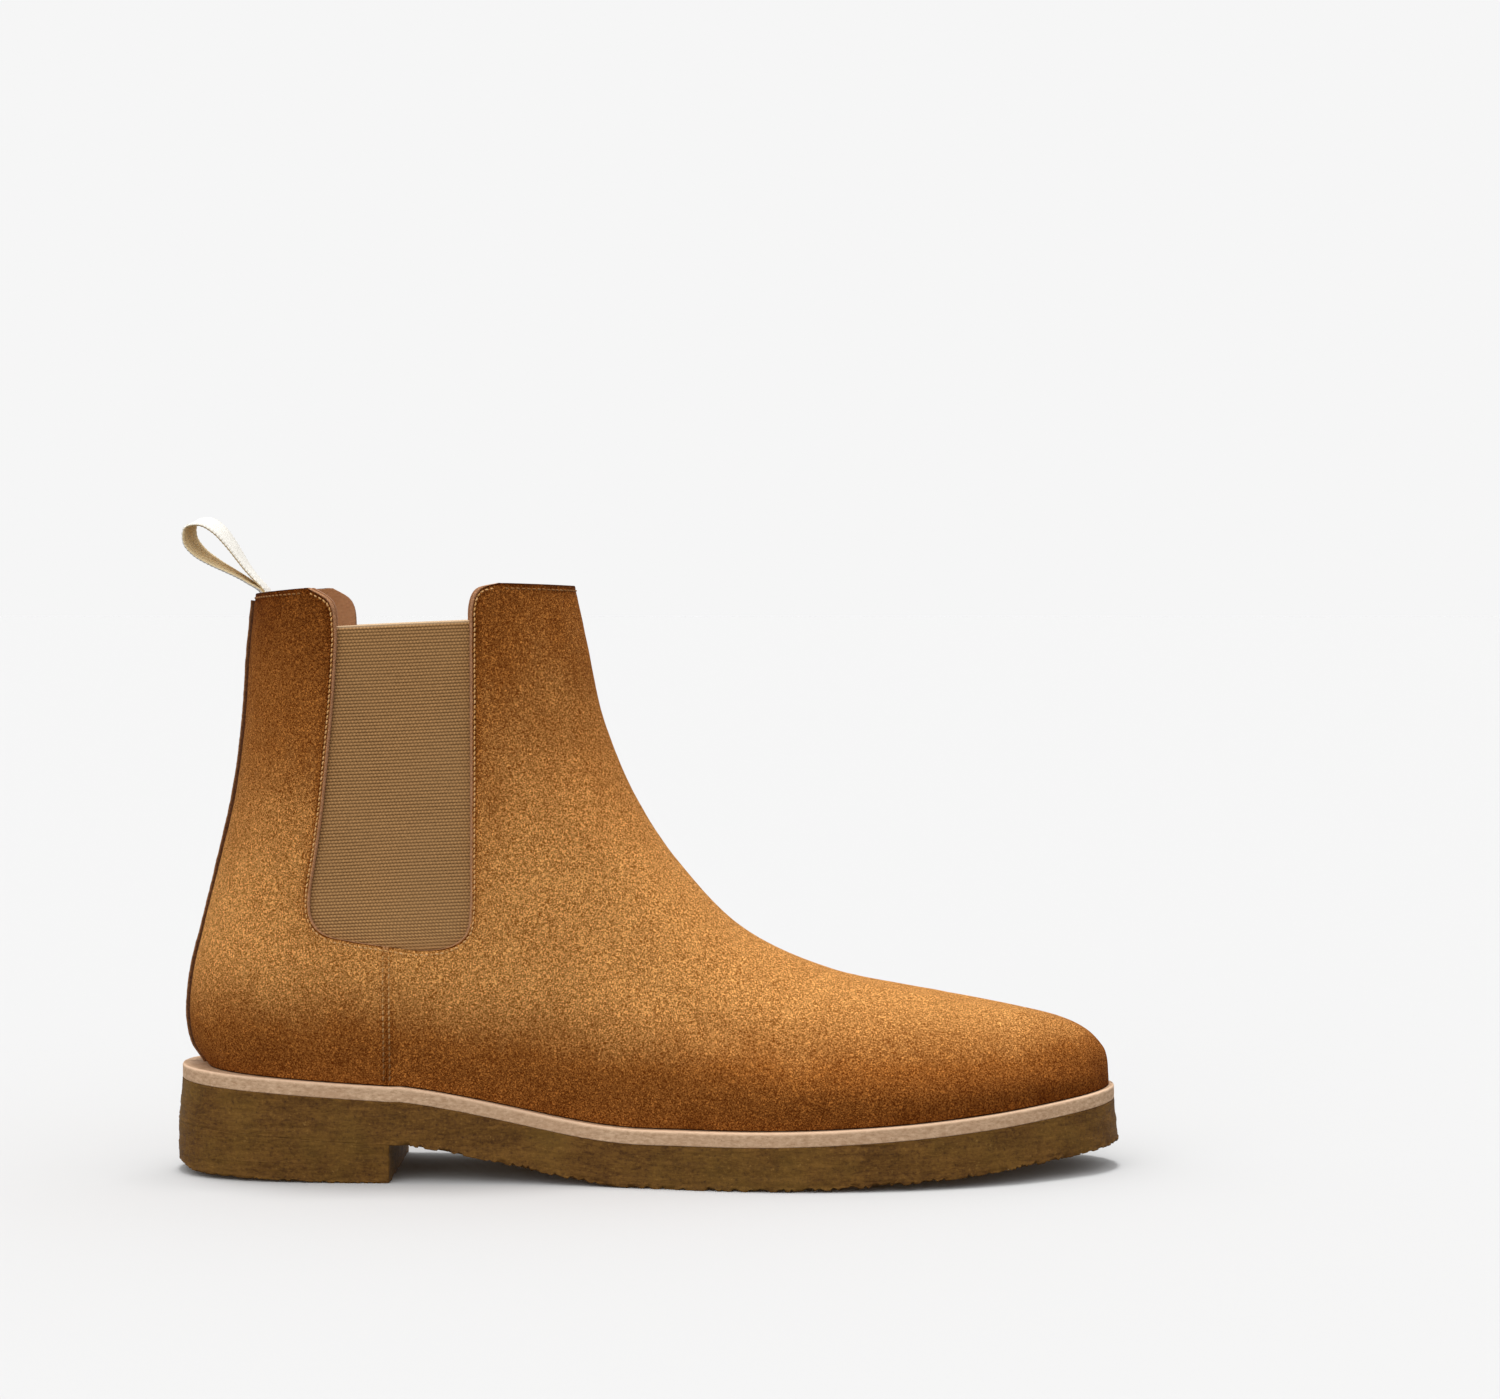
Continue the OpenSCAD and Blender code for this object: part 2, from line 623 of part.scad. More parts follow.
module front_topline_stitching() {
    color(THREAD) placed()
        thread([for (k = [0:16]) [mix(FRONT_TAB_ANGLE, 360 - FRONT_TAB_ANGLE, k / 16), TOPLINE_T]]);
}

module back_topline_stitching() {
    row = [for (k = [0:8]) [mix(3, BACK_TAB_ANGLE, k / 8), TOPLINE_T]];
    color(THREAD) placed() {
        thread(row);
        thread(mirrored(row));
    }
}

vamp();
lateral_quarter();
medial_quarter();
back_seam_strip();
lateral_gusset();
medial_gusset();
pull_loop();
pull_loop_anchor();
vamp_lining();
lateral_quarter_lining();
medial_quarter_lining();
toe_puff();
heel_counter();
insole_board();
shank();
bottom_filler();
heel_pad();
sock_liner();
midsole();
outsole();
heel_lift();
heel_top_piece();
lateral_gusset_stitching();
medial_gusset_stitching();
lateral_side_stitching();
medial_side_stitching();
front_topline_stitching();
back_topline_stitching();
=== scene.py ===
"""Looks of a chelsea boot for a right foot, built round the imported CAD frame.

The upper is one smooth skin over the foot, written as skin(angle, t): angle runs
round the boot from the heel (0) over the lateral side to the front (180) and back
over the medial side, and t runs from the midsole (0) to the topline (1). Drawing
units are millimetres from the back of the sole, and row() turns them into the
frame's metres. Every panel, seam and stitch lies on that skin.
"""
import math
import bpy
import numpy as np
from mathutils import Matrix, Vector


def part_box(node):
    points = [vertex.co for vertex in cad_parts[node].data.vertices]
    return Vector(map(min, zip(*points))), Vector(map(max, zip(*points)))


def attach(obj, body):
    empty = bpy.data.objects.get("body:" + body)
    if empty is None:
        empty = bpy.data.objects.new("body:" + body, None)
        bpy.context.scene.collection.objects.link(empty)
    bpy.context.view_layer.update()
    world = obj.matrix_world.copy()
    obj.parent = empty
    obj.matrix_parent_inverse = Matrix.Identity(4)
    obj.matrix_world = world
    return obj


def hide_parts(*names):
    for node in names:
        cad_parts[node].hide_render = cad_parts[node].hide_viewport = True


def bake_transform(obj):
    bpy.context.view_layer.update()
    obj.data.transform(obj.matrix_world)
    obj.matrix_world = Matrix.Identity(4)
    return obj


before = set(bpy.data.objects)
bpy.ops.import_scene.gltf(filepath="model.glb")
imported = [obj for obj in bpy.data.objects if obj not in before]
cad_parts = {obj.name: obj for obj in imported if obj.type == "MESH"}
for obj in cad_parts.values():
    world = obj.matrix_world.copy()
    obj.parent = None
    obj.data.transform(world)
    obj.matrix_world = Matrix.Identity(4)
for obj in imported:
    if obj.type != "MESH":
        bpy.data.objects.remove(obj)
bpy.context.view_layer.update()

# ---- sizes, in the drawing's millimetres ----

DRAWN_LENGTH = 300.0
OUTSOLE_T = 13.3
MIDSOLE_T = 4.6
HEEL_BACK_H = 16.3
HEEL_FRONT_H = 11.8
HEEL_LENGTH = 70.0
TOP_PIECE_T = 6.0
HEEL_BEVEL = 1.5
CORNER_BEVEL = 2.3
TOE_SPRING = 8.6
SOLE_FLARE = 1.3
WELT = 4.3

SUEDE_T = 1.4
ELASTIC_T = 1.2
STIFFENER_T = 1.0
LINING_T = 0.9
STRIP_H = 1.4
STRIP_W = 1.1
GAP = 0.25
FEATHER_GAP = 0.3
MID_DEPTH = SUEDE_T + GAP
LINING_DEPTH = SUEDE_T + GAP
LINING_DEPTH_UNDER = SUEDE_T + ELASTIC_T + 3 * GAP
THREAD_D = 0.55

BOARD_Z = 2.5
BOARD_T = 2.2
SOCK_Z = BOARD_Z + BOARD_T + 0.3
SOCK_T = 1.0
PAD_T = 3.0
BOTTOM_Z = 0.5
SHANK_T = 1.2
SHANK_FROM, SHANK_TO = 60, 152
SHANK_HALF = 6
FILLER_T = 1.6
BOARD_INSET = 5.8
SOCK_INSET = 6.4
PAD_INSET = 9
FILLER_INSET = 14

# Half widths of the sole at equal steps of the outline's angle, heel to toe
LATERAL = [0, 17.5, 29, 34.3, 35.2, 36.8, 46, 53.6, 51.6, 41.5, 26, 11, -6]
MEDIAL = [0, 17.5, 28.5, 33, 31.2, 28.2, 35, 45.5, 49, 43, 33, 21.5, 6]
TOE_Y = 6.0
CAD_END_ANGLE = 3.0
CAD_STATIONS = 34

SEAM_X = 69.0
SEAM_TOP = 73.5
SEAM_SHARE = 7 / 22
SEAM_GAP = 0.02
GUSSET_REAR = [[69, 73.5], [59, 75], [50.5, 77], [46, 82], [45.5, 90], [47.5, 103],
    [49.5, 118], [51, 133], [52.5, 148], [53.5, 162], [53.8, 171.5], [52.2, 180.3], [44.2, 185.2]]
GUSSET_FRONT = [[69, 73.5], [79, 72.3], [88, 73.3], [93.7, 77.5], [95, 86], [95, 102],
    [95, 119], [95, 136], [95, 153], [95, 170.5], [95.2, 179.5], [97.6, 184.6], [103.5, 186.3]]
ELASTIC_REAR = [[52, 70.5], [43.5, 75], [40, 84], [41.5, 100], [44, 120], [46, 142],
    [47.5, 160], [48, 172.5]]
ELASTIC_FRONT = [[88, 68], [96.5, 71.5], [101, 81], [101, 98], [101, 118], [101, 138],
    [101, 158], [101, 175]]
ELASTIC_FOOT = 68.0
SHAFT_LATERAL = [31.5, 33.8, 34.6, 34.4, 33.6, 32.6, 31, 30.4, 30.6, 31.2, 31.6]
SHAFT_MEDIAL = [30.5, 32.6, 33.6, 33.4, 32.6, 31.6, 30.4, 30, 30.2, 30.8, 31.2]
SHAFT_BACK_ROUND = 36.0
SHAFT_FRONT_ROUND = 58.0
SECTION_POWER = 2.15

GUSSET_INSET = 1.4
TOPLINE_INSET = 1.7
SKIN_HEIGHT = 215
STITCH_PITCH = 1.9
GUSSET_PITCH = 1.6

LOOP_PIVOT = (26.3, 185.0)
LOOP_LEAN = math.radians(42)
LOOP_TWIST = math.radians(12)
LOOP_LENGTH = 29.6
LOOP_HALF = [[3.6, 1.15], [7, 1.75], [10.5, 2.6], [16.5, 4.1], [22, 4.9], [26.8, 3.9]]
SEWN_Z = (170.5, 175, 179.5, 183.2)
SEWN_DEPTHS = (2.74, 1.86)
HEEL_CURVE = 26.7
WEBBING_W = 15.0
WEBBING_T = 0.92

rng = np.random.default_rng(7)


# ---- curves ----

def spline(points, u):
    """Smooth curve through equally spaced control points, u from 0 to 1."""
    c = np.asarray(points, float)
    c = np.concatenate([[2 * c[0] - c[1]], c, [2 * c[-1] - c[-2]]])
    u = np.asarray(u, float)
    n = len(c) - 3
    s = np.clip(u, 0, 1) * n
    i = np.minimum(np.floor(s).astype(int), n - 1)
    f = s - i
    if c.ndim == 2:
        f = f[..., None]
    a, b, d, e = c[i], c[i + 1], c[i + 2], c[i + 3]
    return 0.5 * (2 * b + (d - a) * f + (2 * a - 5 * b + 4 * d - e) * f ** 2
                  + (3 * b - a - 3 * d + e) * f ** 3)


def smooth(x, a, b):
    f = np.clip((np.asarray(x, float) - a) / (b - a), 0, 1)
    return f * f * (3 - 2 * f)


def mix(a, b, f):
    return a + (b - a) * f


def unit(v):
    return v / np.maximum(np.linalg.norm(v, axis=-1, keepdims=True), 1e-12)


def hump(distance, centre, width):
    """A soft bump of height 1 at a distance."""
    return np.exp(-((distance - centre) / width) ** 2)


def resample(line, step):
    """Points along a polyline about step apart, with their distances along it."""
    along = np.concatenate([[0], np.cumsum(np.linalg.norm(np.diff(line, axis=0), axis=1))])
    n = max(int(round(along[-1] / step)), 1)
    at = np.linspace(0, along[-1], n + 1)
    return np.stack([np.interp(at, along, line[:, k]) for k in range(line.shape[1])], 1), at


class Noise:
    """Smooth value noise in three dimensions, from -1 to 1, the same each run."""

    def __init__(self, seed):
        self.table = np.random.default_rng(seed).uniform(-1, 1, (32, 32, 32))

    def __call__(self, points, size, squeeze=(1, 1, 1)):
        p = np.asarray(points, float) / (size * np.asarray(squeeze, float))
        cell = np.floor(p).astype(int)
        f = smooth(p - cell, 0, 1)
        total = 0
        for corner in np.ndindex(2, 2, 2):
            w = np.where(np.array(corner) > 0, f, 1 - f)
            at = np.moveaxis((cell + corner) % 32, -1, 0)
            total = total + w[..., 0] * w[..., 1] * w[..., 2] * self.table[tuple(at)]
        return total


noise = Noise(11)
noise_b = Noise(23)


# ---- sole ----

def underside(x):
    x = np.asarray(x, float)
    heel = mix(HEEL_BACK_H, HEEL_FRONT_H, x / HEEL_LENGTH)
    arch = np.minimum(HEEL_FRONT_H, 1.08 * HEEL_FRONT_H * (1 - smooth(x, 58, 150)))
    toe = TOE_SPRING * (np.maximum(x - 172, 0) / 128) ** 1.9
    return np.where(x < HEEL_LENGTH, heel, arch) + toe


def feather(x):
    return underside(x) + OUTSOLE_T + MIDSOLE_T


def half_width(side, x, x0, x1, inset):
    angle = np.arccos(np.clip(1 - 2 * (np.asarray(x, float) - x0) / (x1 - x0), -1, 1))
    return spline(side, angle / np.pi) - inset * np.sin(angle)


def outline(x0, x1, inset, from_x=0.0, to_x=DRAWN_LENGTH, steps=200, end=0.0):
    """Stations along a sole outline: x, the lateral y and the medial y."""
    at = lambda x: math.acos(np.clip(1 - 2 * (x - x0) / (x1 - x0), -1, 1))
    first = max(math.radians(end), at(max(from_x, x0)))
    last = min(math.pi - math.radians(end), at(to_x))
    x = x0 + (x1 - x0) * (1 - np.cos(np.linspace(first, last, steps + 1))) / 2
    return x, -half_width(LATERAL, x, x0, x1, inset), half_width(MEDIAL, x, x0, x1, inset)


def sole_outline(inset, from_x=0.0, to_x=DRAWN_LENGTH, steps=200, end=0.0):
    return outline(inset, DRAWN_LENGTH - inset, inset, from_x, to_x, steps, end)


# The frame's place and scale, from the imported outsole
_, _lat, _med = sole_outline(0, steps=CAD_STATIONS, end=CAD_END_ANGLE)
MIDDLE_Y = (_med.max() + _lat.min()) / 2
SOLE_LO, SOLE_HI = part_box("outsole")
FLOOR_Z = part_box("heel_top_piece")[0].z
MM = (SOLE_HI.x - SOLE_LO.x) / (DRAWN_LENGTH * math.cos(math.radians(CAD_END_ANGLE)))
HEEL_X = SOLE_LO.x - DRAWN_LENGTH * (1 - math.cos(math.radians(CAD_END_ANGLE))) / 2 * MM
MIDDLE = (SOLE_LO.y + SOLE_HI.y) / 2


def row(points):
    """Drawing millimetres to the frame's metres."""
    p = np.asarray(points, float)
    return np.stack([HEEL_X + p[..., 0] * MM, MIDDLE + (p[..., 1] - MIDDLE_Y) * MM,
                     FLOOR_Z + p[..., 2] * MM], -1)


# ---- the upper's skin ----

BACK = [[9.5, float(feather(9.5))], [5, 40.5], [3.5, 49], [4, 58], [5.5, 67], [8, 76.5],
    [13.5, 98.5], [18.5, 120.5], [21.5, 142.5], [23, 163.5], [25, 183]]
FRONT = [[297, float(feather(297))], [294.8, 38.5], [281, 48], [244, 56], [208.5, 63],
    [179.5, 76.5], [158.5, 98.5], [144.5, 120.5], [135.6, 142.5], [130.9, 163.5], [126.3, 185.5]]
TAB_RISE = 2.0
BACK_X = [p[0] for p in BACK]
BACK_Z = [p[1] for p in BACK]
FRONT_X = [p[0] for p in FRONT]
FRONT_Z = [p[1] for p in FRONT]
_ridge = spline(FRONT, np.linspace(0, 1, 1201))[::-1]


def ridge_height(x):
    x = np.asarray(x, float)
    return np.where(x < FRONT_X[-1], FRONT_Z[-1] + 6 * (FRONT_X[-1] - x),
                    np.interp(x, _ridge[:, 0], _ridge[:, 1]))


def row_height(x, t, a):
    k = np.maximum(1 - 2 * t, 0) ** 1.5
    return (mix(spline(BACK_Z, t), spline(FRONT_Z, t), a)
            + TAB_RISE * smooth(t, 0.8, 1) * 4 * a * (1 - a)
            + k * (feather(x) - mix(BACK_Z[0], FRONT_Z[0], a)))


def side_width(plan, shaft, x, t):
    back = spline(BACK_X, t)
    xb = x - (back - BACK_X[0]) * (1 - smooth(x - back, 0, 80))
    foot = half_width(plan, xb, BACK_X[0], FRONT_X[0], WELT)
    turn = np.clip(1 - (xb - BACK_X[0]) / SHAFT_BACK_ROUND, 0, 1)
    tube = spline(shaft, t) * np.sqrt(1 - turn * turn)
    to_tube = np.maximum(smooth(t, 0, 0.45) * (1 - smooth(x, 95, 165)), smooth(t, 0.5, 0.8))
    return mix(foot, tube, to_tube)


def skin(angle, t):
    """Outer face of the upper, angle in degrees."""
    th = np.mod(np.asarray(angle, float), 360)
    t = np.asarray(t, float)
    medial = th > 180
    a = (1 - np.cos(np.radians(th))) / 2
    front_x = spline(FRONT_X, t)
    x = mix(spline(BACK_X, t), front_x, a)
    z = row_height(x, t, a)
    low = feather(x)
    u = np.clip((z - low) / np.maximum(ridge_height(x) - low, 0.01), 0, 1)
    v = np.clip((front_x - x) / SHAFT_FRONT_ROUND, 0, 1)
    to_shaft = smooth(t, 0.5, 0.8)
    section = mix(np.sqrt(np.maximum(1 - u ** SECTION_POWER, 0)),
                  np.sqrt(np.maximum(1 - (1 - v) ** 2, 0)), to_shaft)
    bulge = (1.9 * np.sin(np.pi * np.minimum(2.2 * u, 1)) * np.sqrt(np.abs(np.sin(np.radians(th))))
             * (1 - to_shaft) * smooth(x, 60, 120))
    c = TOE_Y * smooth(x, 140, 296)
    width = np.where(medial, side_width(MEDIAL, SHAFT_MEDIAL, x, t) - c,
                     side_width(LATERAL, SHAFT_LATERAL, x, t) + c)
    return np.stack([x, c + np.where(medial, 1, -1) * (width * section + bulge), z], -1)


def outward(angle, t):
    along = skin(angle + 2, t) - skin(angle - 2, t)
    up = skin(angle, t + 0.002) - skin(angle, t - 0.002)
    return unit(np.cross(along, up))


def under(angle, t, depth):
    """Point at a depth below the skin, kept above the midsole."""
    p = skin(angle, t) - np.asarray(depth)[..., None] * outward(angle, t)
    p[..., 2] = np.maximum(p[..., 2], feather(p[..., 0]) + FEATHER_GAP)
    return p


def place(points):
    """Angle and t of points [x, z] seen from the lateral side."""
    x, z = np.asarray(points, float)[..., 0], np.asarray(points, float)[..., 1]

    def share(t):
        back = spline(BACK_X, t)
        return np.clip((x - back) / (spline(FRONT_X, t) - back), 0, 1)

    low, high = np.zeros_like(x), np.ones_like(x)
    for _ in range(22):
        t = (low + high) / 2
        below = row_height(x, t, share(t)) < z
        low, high = np.where(below, t, low), np.where(below, high, t)
    t = (low + high) / 2
    return np.stack([np.degrees(np.arccos(1 - 2 * share(t))), t], -1)


def panel_edge(curve, v, shift):
    """Edge of a panel, [x, z]: up the side seam, then round the gusset."""
    seam_z = mix(float(feather(SEAM_X)), SEAM_TOP, v / SEAM_SHARE)
    seam = np.stack([np.full_like(v, SEAM_X), seam_z], -1)
    side = spline(curve, (v - SEAM_SHARE) / (1 - SEAM_SHARE))
    return np.where((v < SEAM_SHARE)[..., None], seam, side) + [shift, 0]


def vamp_place(v, u):
    e = place(panel_edge(GUSSET_FRONT, v, SEAM_GAP))
    a, t = e[:, :1], e[:, 1:]
    return mix(a, 360 - a, u), mix(t, v[:, None], np.sin(np.pi * u))


def quarter_place(v, u, back_angle=1.2):
    e = place(panel_edge(GUSSET_REAR, v, -SEAM_GAP))
    return mix(back_angle, e[:, :1], u), mix(v[:, None] ** 0.85, e[:, 1:], u)


def elastic_place(v, u):
    """Rows of the elastic, each level with its top edge, which rises to the front."""
    (x0, z0), (x1, z1) = ELASTIC_REAR[-1], ELASTIC_FRONT[-1]
    slope = (z1 - z0) / (x1 - x0)
    level = mix(ELASTIC_FOOT, z0, v)
    ends = []
    for curve in (ELASTIC_REAR, ELASTIC_FRONT):
        edge_x, edge_z = spline(curve, np.linspace(0, 1, 400)).T
        ends.append(np.interp(level, edge_z - slope * (edge_x - x0), edge_x))
    x = mix(ends[0][:, None], ends[1][:, None], u)
    z = level[:, None] + slope * (x - x0)
    p = place(np.stack([x, z], -1))
    return p[..., 0], p[..., 1]


def layer_between(p):
    """1 where elastic, webbing or a stiffener lies between the suede and the lining."""
    x, y, z = p[..., 0], p[..., 1], p[..., 2]
    webbing_only = 1 - smooth(z, 171, 179) * smooth(np.abs(y), 8.5, 11.5)
    return np.maximum.reduce([
        smooth(z, 58, 64) * smooth(x, 28, 36) * (1 - smooth(x, 106, 118)),
        smooth(x, 190, 201),
        (1 - smooth(x, 62, 70)) * (1 - smooth(z, 78, 88)),
        (1 - smooth(x, 36, 44)) * smooth(z, 150, 160) * webbing_only])


def lining_depth(angle, t):
    return mix(LINING_DEPTH, LINING_DEPTH_UNDER, layer_between(skin(angle, t)))


# ---- meshes ----

def scene_object(name, data):
    obj = bpy.data.objects.new(name, data)
    bpy.context.scene.collection.objects.link(obj)
    return obj


def new_piece(name, verts, faces, material, body, replaces=(), attributes=None):
    """A smooth-shaded mesh object from points in drawing millimetres, turned outward."""
    p = row(verts)
    faces = [np.concatenate([f for f in faces if f.shape[1] == n] or [np.zeros((0, n), int)])
             for n in (4, 3)]
    volume = sum((p[f[:, 0]] * np.cross(p[f[:, k]], p[f[:, k + 1]])).sum()
                 for f in faces for k in range(1, f.shape[1] - 1))
    turn = -1 if volume < 0 else 1
    mesh = bpy.data.meshes.new(name)
    mesh.from_pydata(p.tolist(), [], [face for f in faces for face in f[:, ::turn].tolist()])
    mesh.polygons.foreach_set("use_smooth", [True] * len(mesh.polygons))
    for key, values in (attributes or {}).items():
        values = np.asarray(values, np.float32)
        kind = "FLOAT_VECTOR" if values.ndim == 2 else "FLOAT"
        mesh.attributes.new(key, kind, "POINT").data.foreach_set(
            "vector" if values.ndim == 2 else "value", values.ravel())
    mesh.update()
    obj = scene_object(name, mesh)
    obj.data.materials.append(material)
    if body:
        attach(obj, body)
    if replaces:
        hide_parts(*replaces)
    return obj


def faces_from(*corners):
    """Faces from one array of indices for each corner."""
    return np.stack([c.ravel() for c in corners], 1)


def tube_faces(index):
    """Quads between closed rings of points, which lie along the last axis of index."""
    nxt = np.roll(index, -1, axis=-1)
    return faces_from(index[..., :-1, :], nxt[..., :-1, :], nxt[..., 1:, :], index[..., 1:, :])


def shell_faces(rows, cols):
    """Quads of a closed shell made of an outer and an inner grid of the same size."""
    n = rows * cols
    o = np.arange(n).reshape(rows, cols)
    i = o + n
    return [faces_from(*corners) for corners in (
        (o[:-1, :-1], o[1:, :-1], o[1:, 1:], o[:-1, 1:]),
        (i[:-1, :-1], i[:-1, 1:], i[1:, 1:], i[1:, :-1]),
        (o[1:, 0], o[:-1, 0], i[:-1, 0], i[1:, 0]),
        (o[:-1, -1], o[1:, -1], i[1:, -1], i[:-1, -1]),
        (o[0, :-1], o[0, 1:], i[0, 1:], i[0, :-1]),
        (o[-1, 1:], o[-1, :-1], i[-1, :-1], i[-1, 1:]))]


RIM = np.array([0, 0.07, 0.16, 0.28, 0.42, 0.6, 0.85, 1.25])


def rounded(width, radius):
    """How far a surface drops at a distance from its edge, for a quarter-round edge."""
    w = np.clip(width, 0, radius)
    return radius - np.sqrt(np.maximum(radius ** 2 - (radius - w) ** 2, 0))


class Panel:
    """A grid over a part of the skin with its rows crowded at the edges.

    across is the distance in mm along a row. from_left, from_right, from_bottom and
    from_top are the distances to the four edges, side_edge to the nearest but the lowest.
    """

    def __init__(self, place_of, cols, rows, height, extra=(), mirror=False):
        v = np.concatenate([np.linspace(0, 1, rows), RIM / height, 1 - RIM / height, extra])
        v = np.unique(np.round(np.clip(v, 0, 1), 6))
        fine = np.broadcast_to(np.linspace(0, 1, 320), (len(v), 320))
        angle, t = place_of(v, fine)
        line = skin(angle, t)
        step = np.linalg.norm(np.diff(line, axis=1), axis=2)
        along = np.concatenate([np.zeros((len(v), 1)), np.cumsum(step, 1)], 1)
        mid = np.linspace(0, 1, cols)[1:-1]
        u = np.empty((len(v), len(mid) + 2 * len(RIM)))
        for k, length in enumerate(along[:, -1]):
            at = np.concatenate([RIM, mix(RIM[-1], length - RIM[-1], mid), (length - RIM)[::-1]])
            u[k] = np.interp(at, along[k], fine[k])
        self.angle, self.t = place_of(v, u)
        if mirror:
            self.angle = 360 - self.angle
        p = skin(self.angle, self.t)
        self.across, up = self._run(p, 1), self._run(p, 0)
        self.from_left, self.from_right = self.across, self.across[:, -1:] - self.across
        self.from_bottom, self.from_top = up, up[-1:] - up
        self.side_edge = np.minimum(np.minimum(self.from_left, self.from_right), self.from_top)
        self.v = np.broadcast_to(v[:, None], self.angle.shape)
        self.p = p
        self.shape = p.shape[:2]

    @staticmethod
    def _run(p, axis):
        step = np.linalg.norm(np.diff(p, axis=axis), axis=2)
        zero = np.zeros_like(np.take(step, [0], axis=axis))
        return np.concatenate([zero, np.cumsum(step, axis)], axis)

    def points(self, depth):
        return under(self.angle, self.t, np.broadcast_to(depth, self.shape))


def two(values):
    """Values of a shell's outer grid and then of its inner grid, or the same ones for both."""
    values = values if isinstance(values, list) else [values, values]
    return np.concatenate([v.reshape((-1, 3) if v.ndim == 3 else -1) for v in values])


def shell_piece(name, panel, outer, inner, material, slot, node, **attributes):
    """The piece between two depths of a panel."""
    return new_piece(name, two([outer, inner]), shell_faces(*panel.shape), material, "boot",
                     (node,), {key: two(value) for key, value in attributes.items()})


def suede_burnish_and_shade(p):
    """0 where the suede is palest and 1 where it is darkest: burnished towards the top, and darker
    near the sole, partly from burnishing and partly as painted shade.
    """
    x, z = p[..., 0], p[..., 2]
    over = z - feather(x)
    rear = 1 - smooth(x, 45, 95)
    top = 0.38 * smooth(z, 85, 165) + (0.16 + 0.18 * rear) * smooth(z, 150, 186)
    heel = 0.15 * smooth(z, 78, 125) * rear
    # Near the sole the suede darkens: partly burnishing and partly painted shade on the low,
    # downward-facing suede.
    reach = np.interp(x, [0, 60, 150, 210, 265], [40, 40, 46, 42, 32])
    base = np.interp(x, [0, 60, 150, 300], [0.72, 0.68, 0.66, 0.88])
    base = base * (1 - smooth(over / reach, 0.07, 1))
    beside_elastic = 0.12 * hump(x, 101, 7.0) * smooth(z, 75, 95)
    return np.clip(top + heel + base + beside_elastic, 0, 1)


# ---- materials ----

class Graph:
    """A small helper for building one Principled material from nodes."""

    def __init__(self, name, **values):
        self.material = bpy.data.materials.new(name)
        self.material.use_nodes = True
        self.tree = self.material.node_tree
        self.tree.nodes.clear()
        out = self.tree.nodes.new("ShaderNodeOutputMaterial")
        self.bsdf = self.tree.nodes.new("ShaderNodeBsdfPrincipled")
        self.tree.links.new(self.bsdf.outputs[0], out.inputs[0])
        for key, value in values.items():
            self.bsdf.inputs[key.replace("_", " ")].default_value = value
        self.place = self._node("TexCoord", {})["Object"]

    def _set(self, socket, value):
        if isinstance(value, bpy.types.NodeSocket):
            self.tree.links.new(value, socket)
        elif isinstance(value, (tuple, list)) and len(value) == 3 and socket.type == "RGBA":
            socket.default_value = (*value, 1)
        else:
            socket.default_value = value

    def _node(self, kind, inputs, **settings):
        node = self.tree.nodes.new("ShaderNode" + kind)
        for key, value in settings.items():
            setattr(node, key, value)
        for key, value in inputs.items():
            self._set(node.inputs[key], value)
        return node.outputs

    def attribute(self, name, vector=False):
        return self._node("Attribute", {}, attribute_name=name)["Vector" if vector else "Fac"]

    def stretch(self, vector, by):
        return self._node("VectorMath", {0: vector, 1: by}, operation="MULTIPLY")[0]

    def split(self, vector):
        return self._node("SeparateXYZ", {0: vector})

    def noise(self, scale, detail=2.0, rough=0.5, vector=None, twist=0.0):
        return self._node("TexNoise", {"Vector": vector or self.place, "Scale": scale,
                                       "Detail": detail, "Roughness": rough,
                                       "Distortion": twist})["Fac"]

    def cells(self, scale):
        return self._node("TexVoronoi", {"Vector": self.place, "Scale": scale})["Distance"]

    def math(self, operation, a, b=0.0, clamp=False):
        return self._node("Math", {0: a, 1: b}, operation=operation, use_clamp=clamp)[0]

    def plus(self, a, b, clamp=False):
        return self.math("ADD", a, b, clamp)

    def times(self, a, b, clamp=False):
        return self.math("MULTIPLY", a, b, clamp)

    def span(self, value, low, high, to_low=0.0, to_high=1.0):
        return self._node("MapRange", {"Value": value, "From Min": low, "From Max": high,
                                       "To Min": to_low, "To Max": to_high})[0]

    def mix(self, factor, a, b, blend="MIX"):
        return self._node("Mix", {"Factor": factor, 6: a, 7: b}, data_type="RGBA",
                          blend_type=blend)[2]

    def ramp(self, value, low, high, dark, light):
        """From one colour to another as a value rises."""
        return self.mix(self.span(value, low, high), dark, light)

    def over(self, colour, paint, value, low, high, share):
        """A colour with up to a share of another over it as a value rises."""
        return self.mix(self.span(value, low, high, 0.0, share), colour, paint)

    def bump(self, height, strength, distance, before=None):
        values = {"Height": height, "Strength": strength, "Distance": distance}
        return self._node("Bump", {**values, "Normal": before} if before else values)[0]

    def done(self, colour=None, roughness=None, normal=None):
        for key, value in (("Base Color", colour), ("Roughness", roughness), ("Normal", normal)):
            if value is not None:
                self._set(self.bsdf.inputs[key], value)
        return self.material


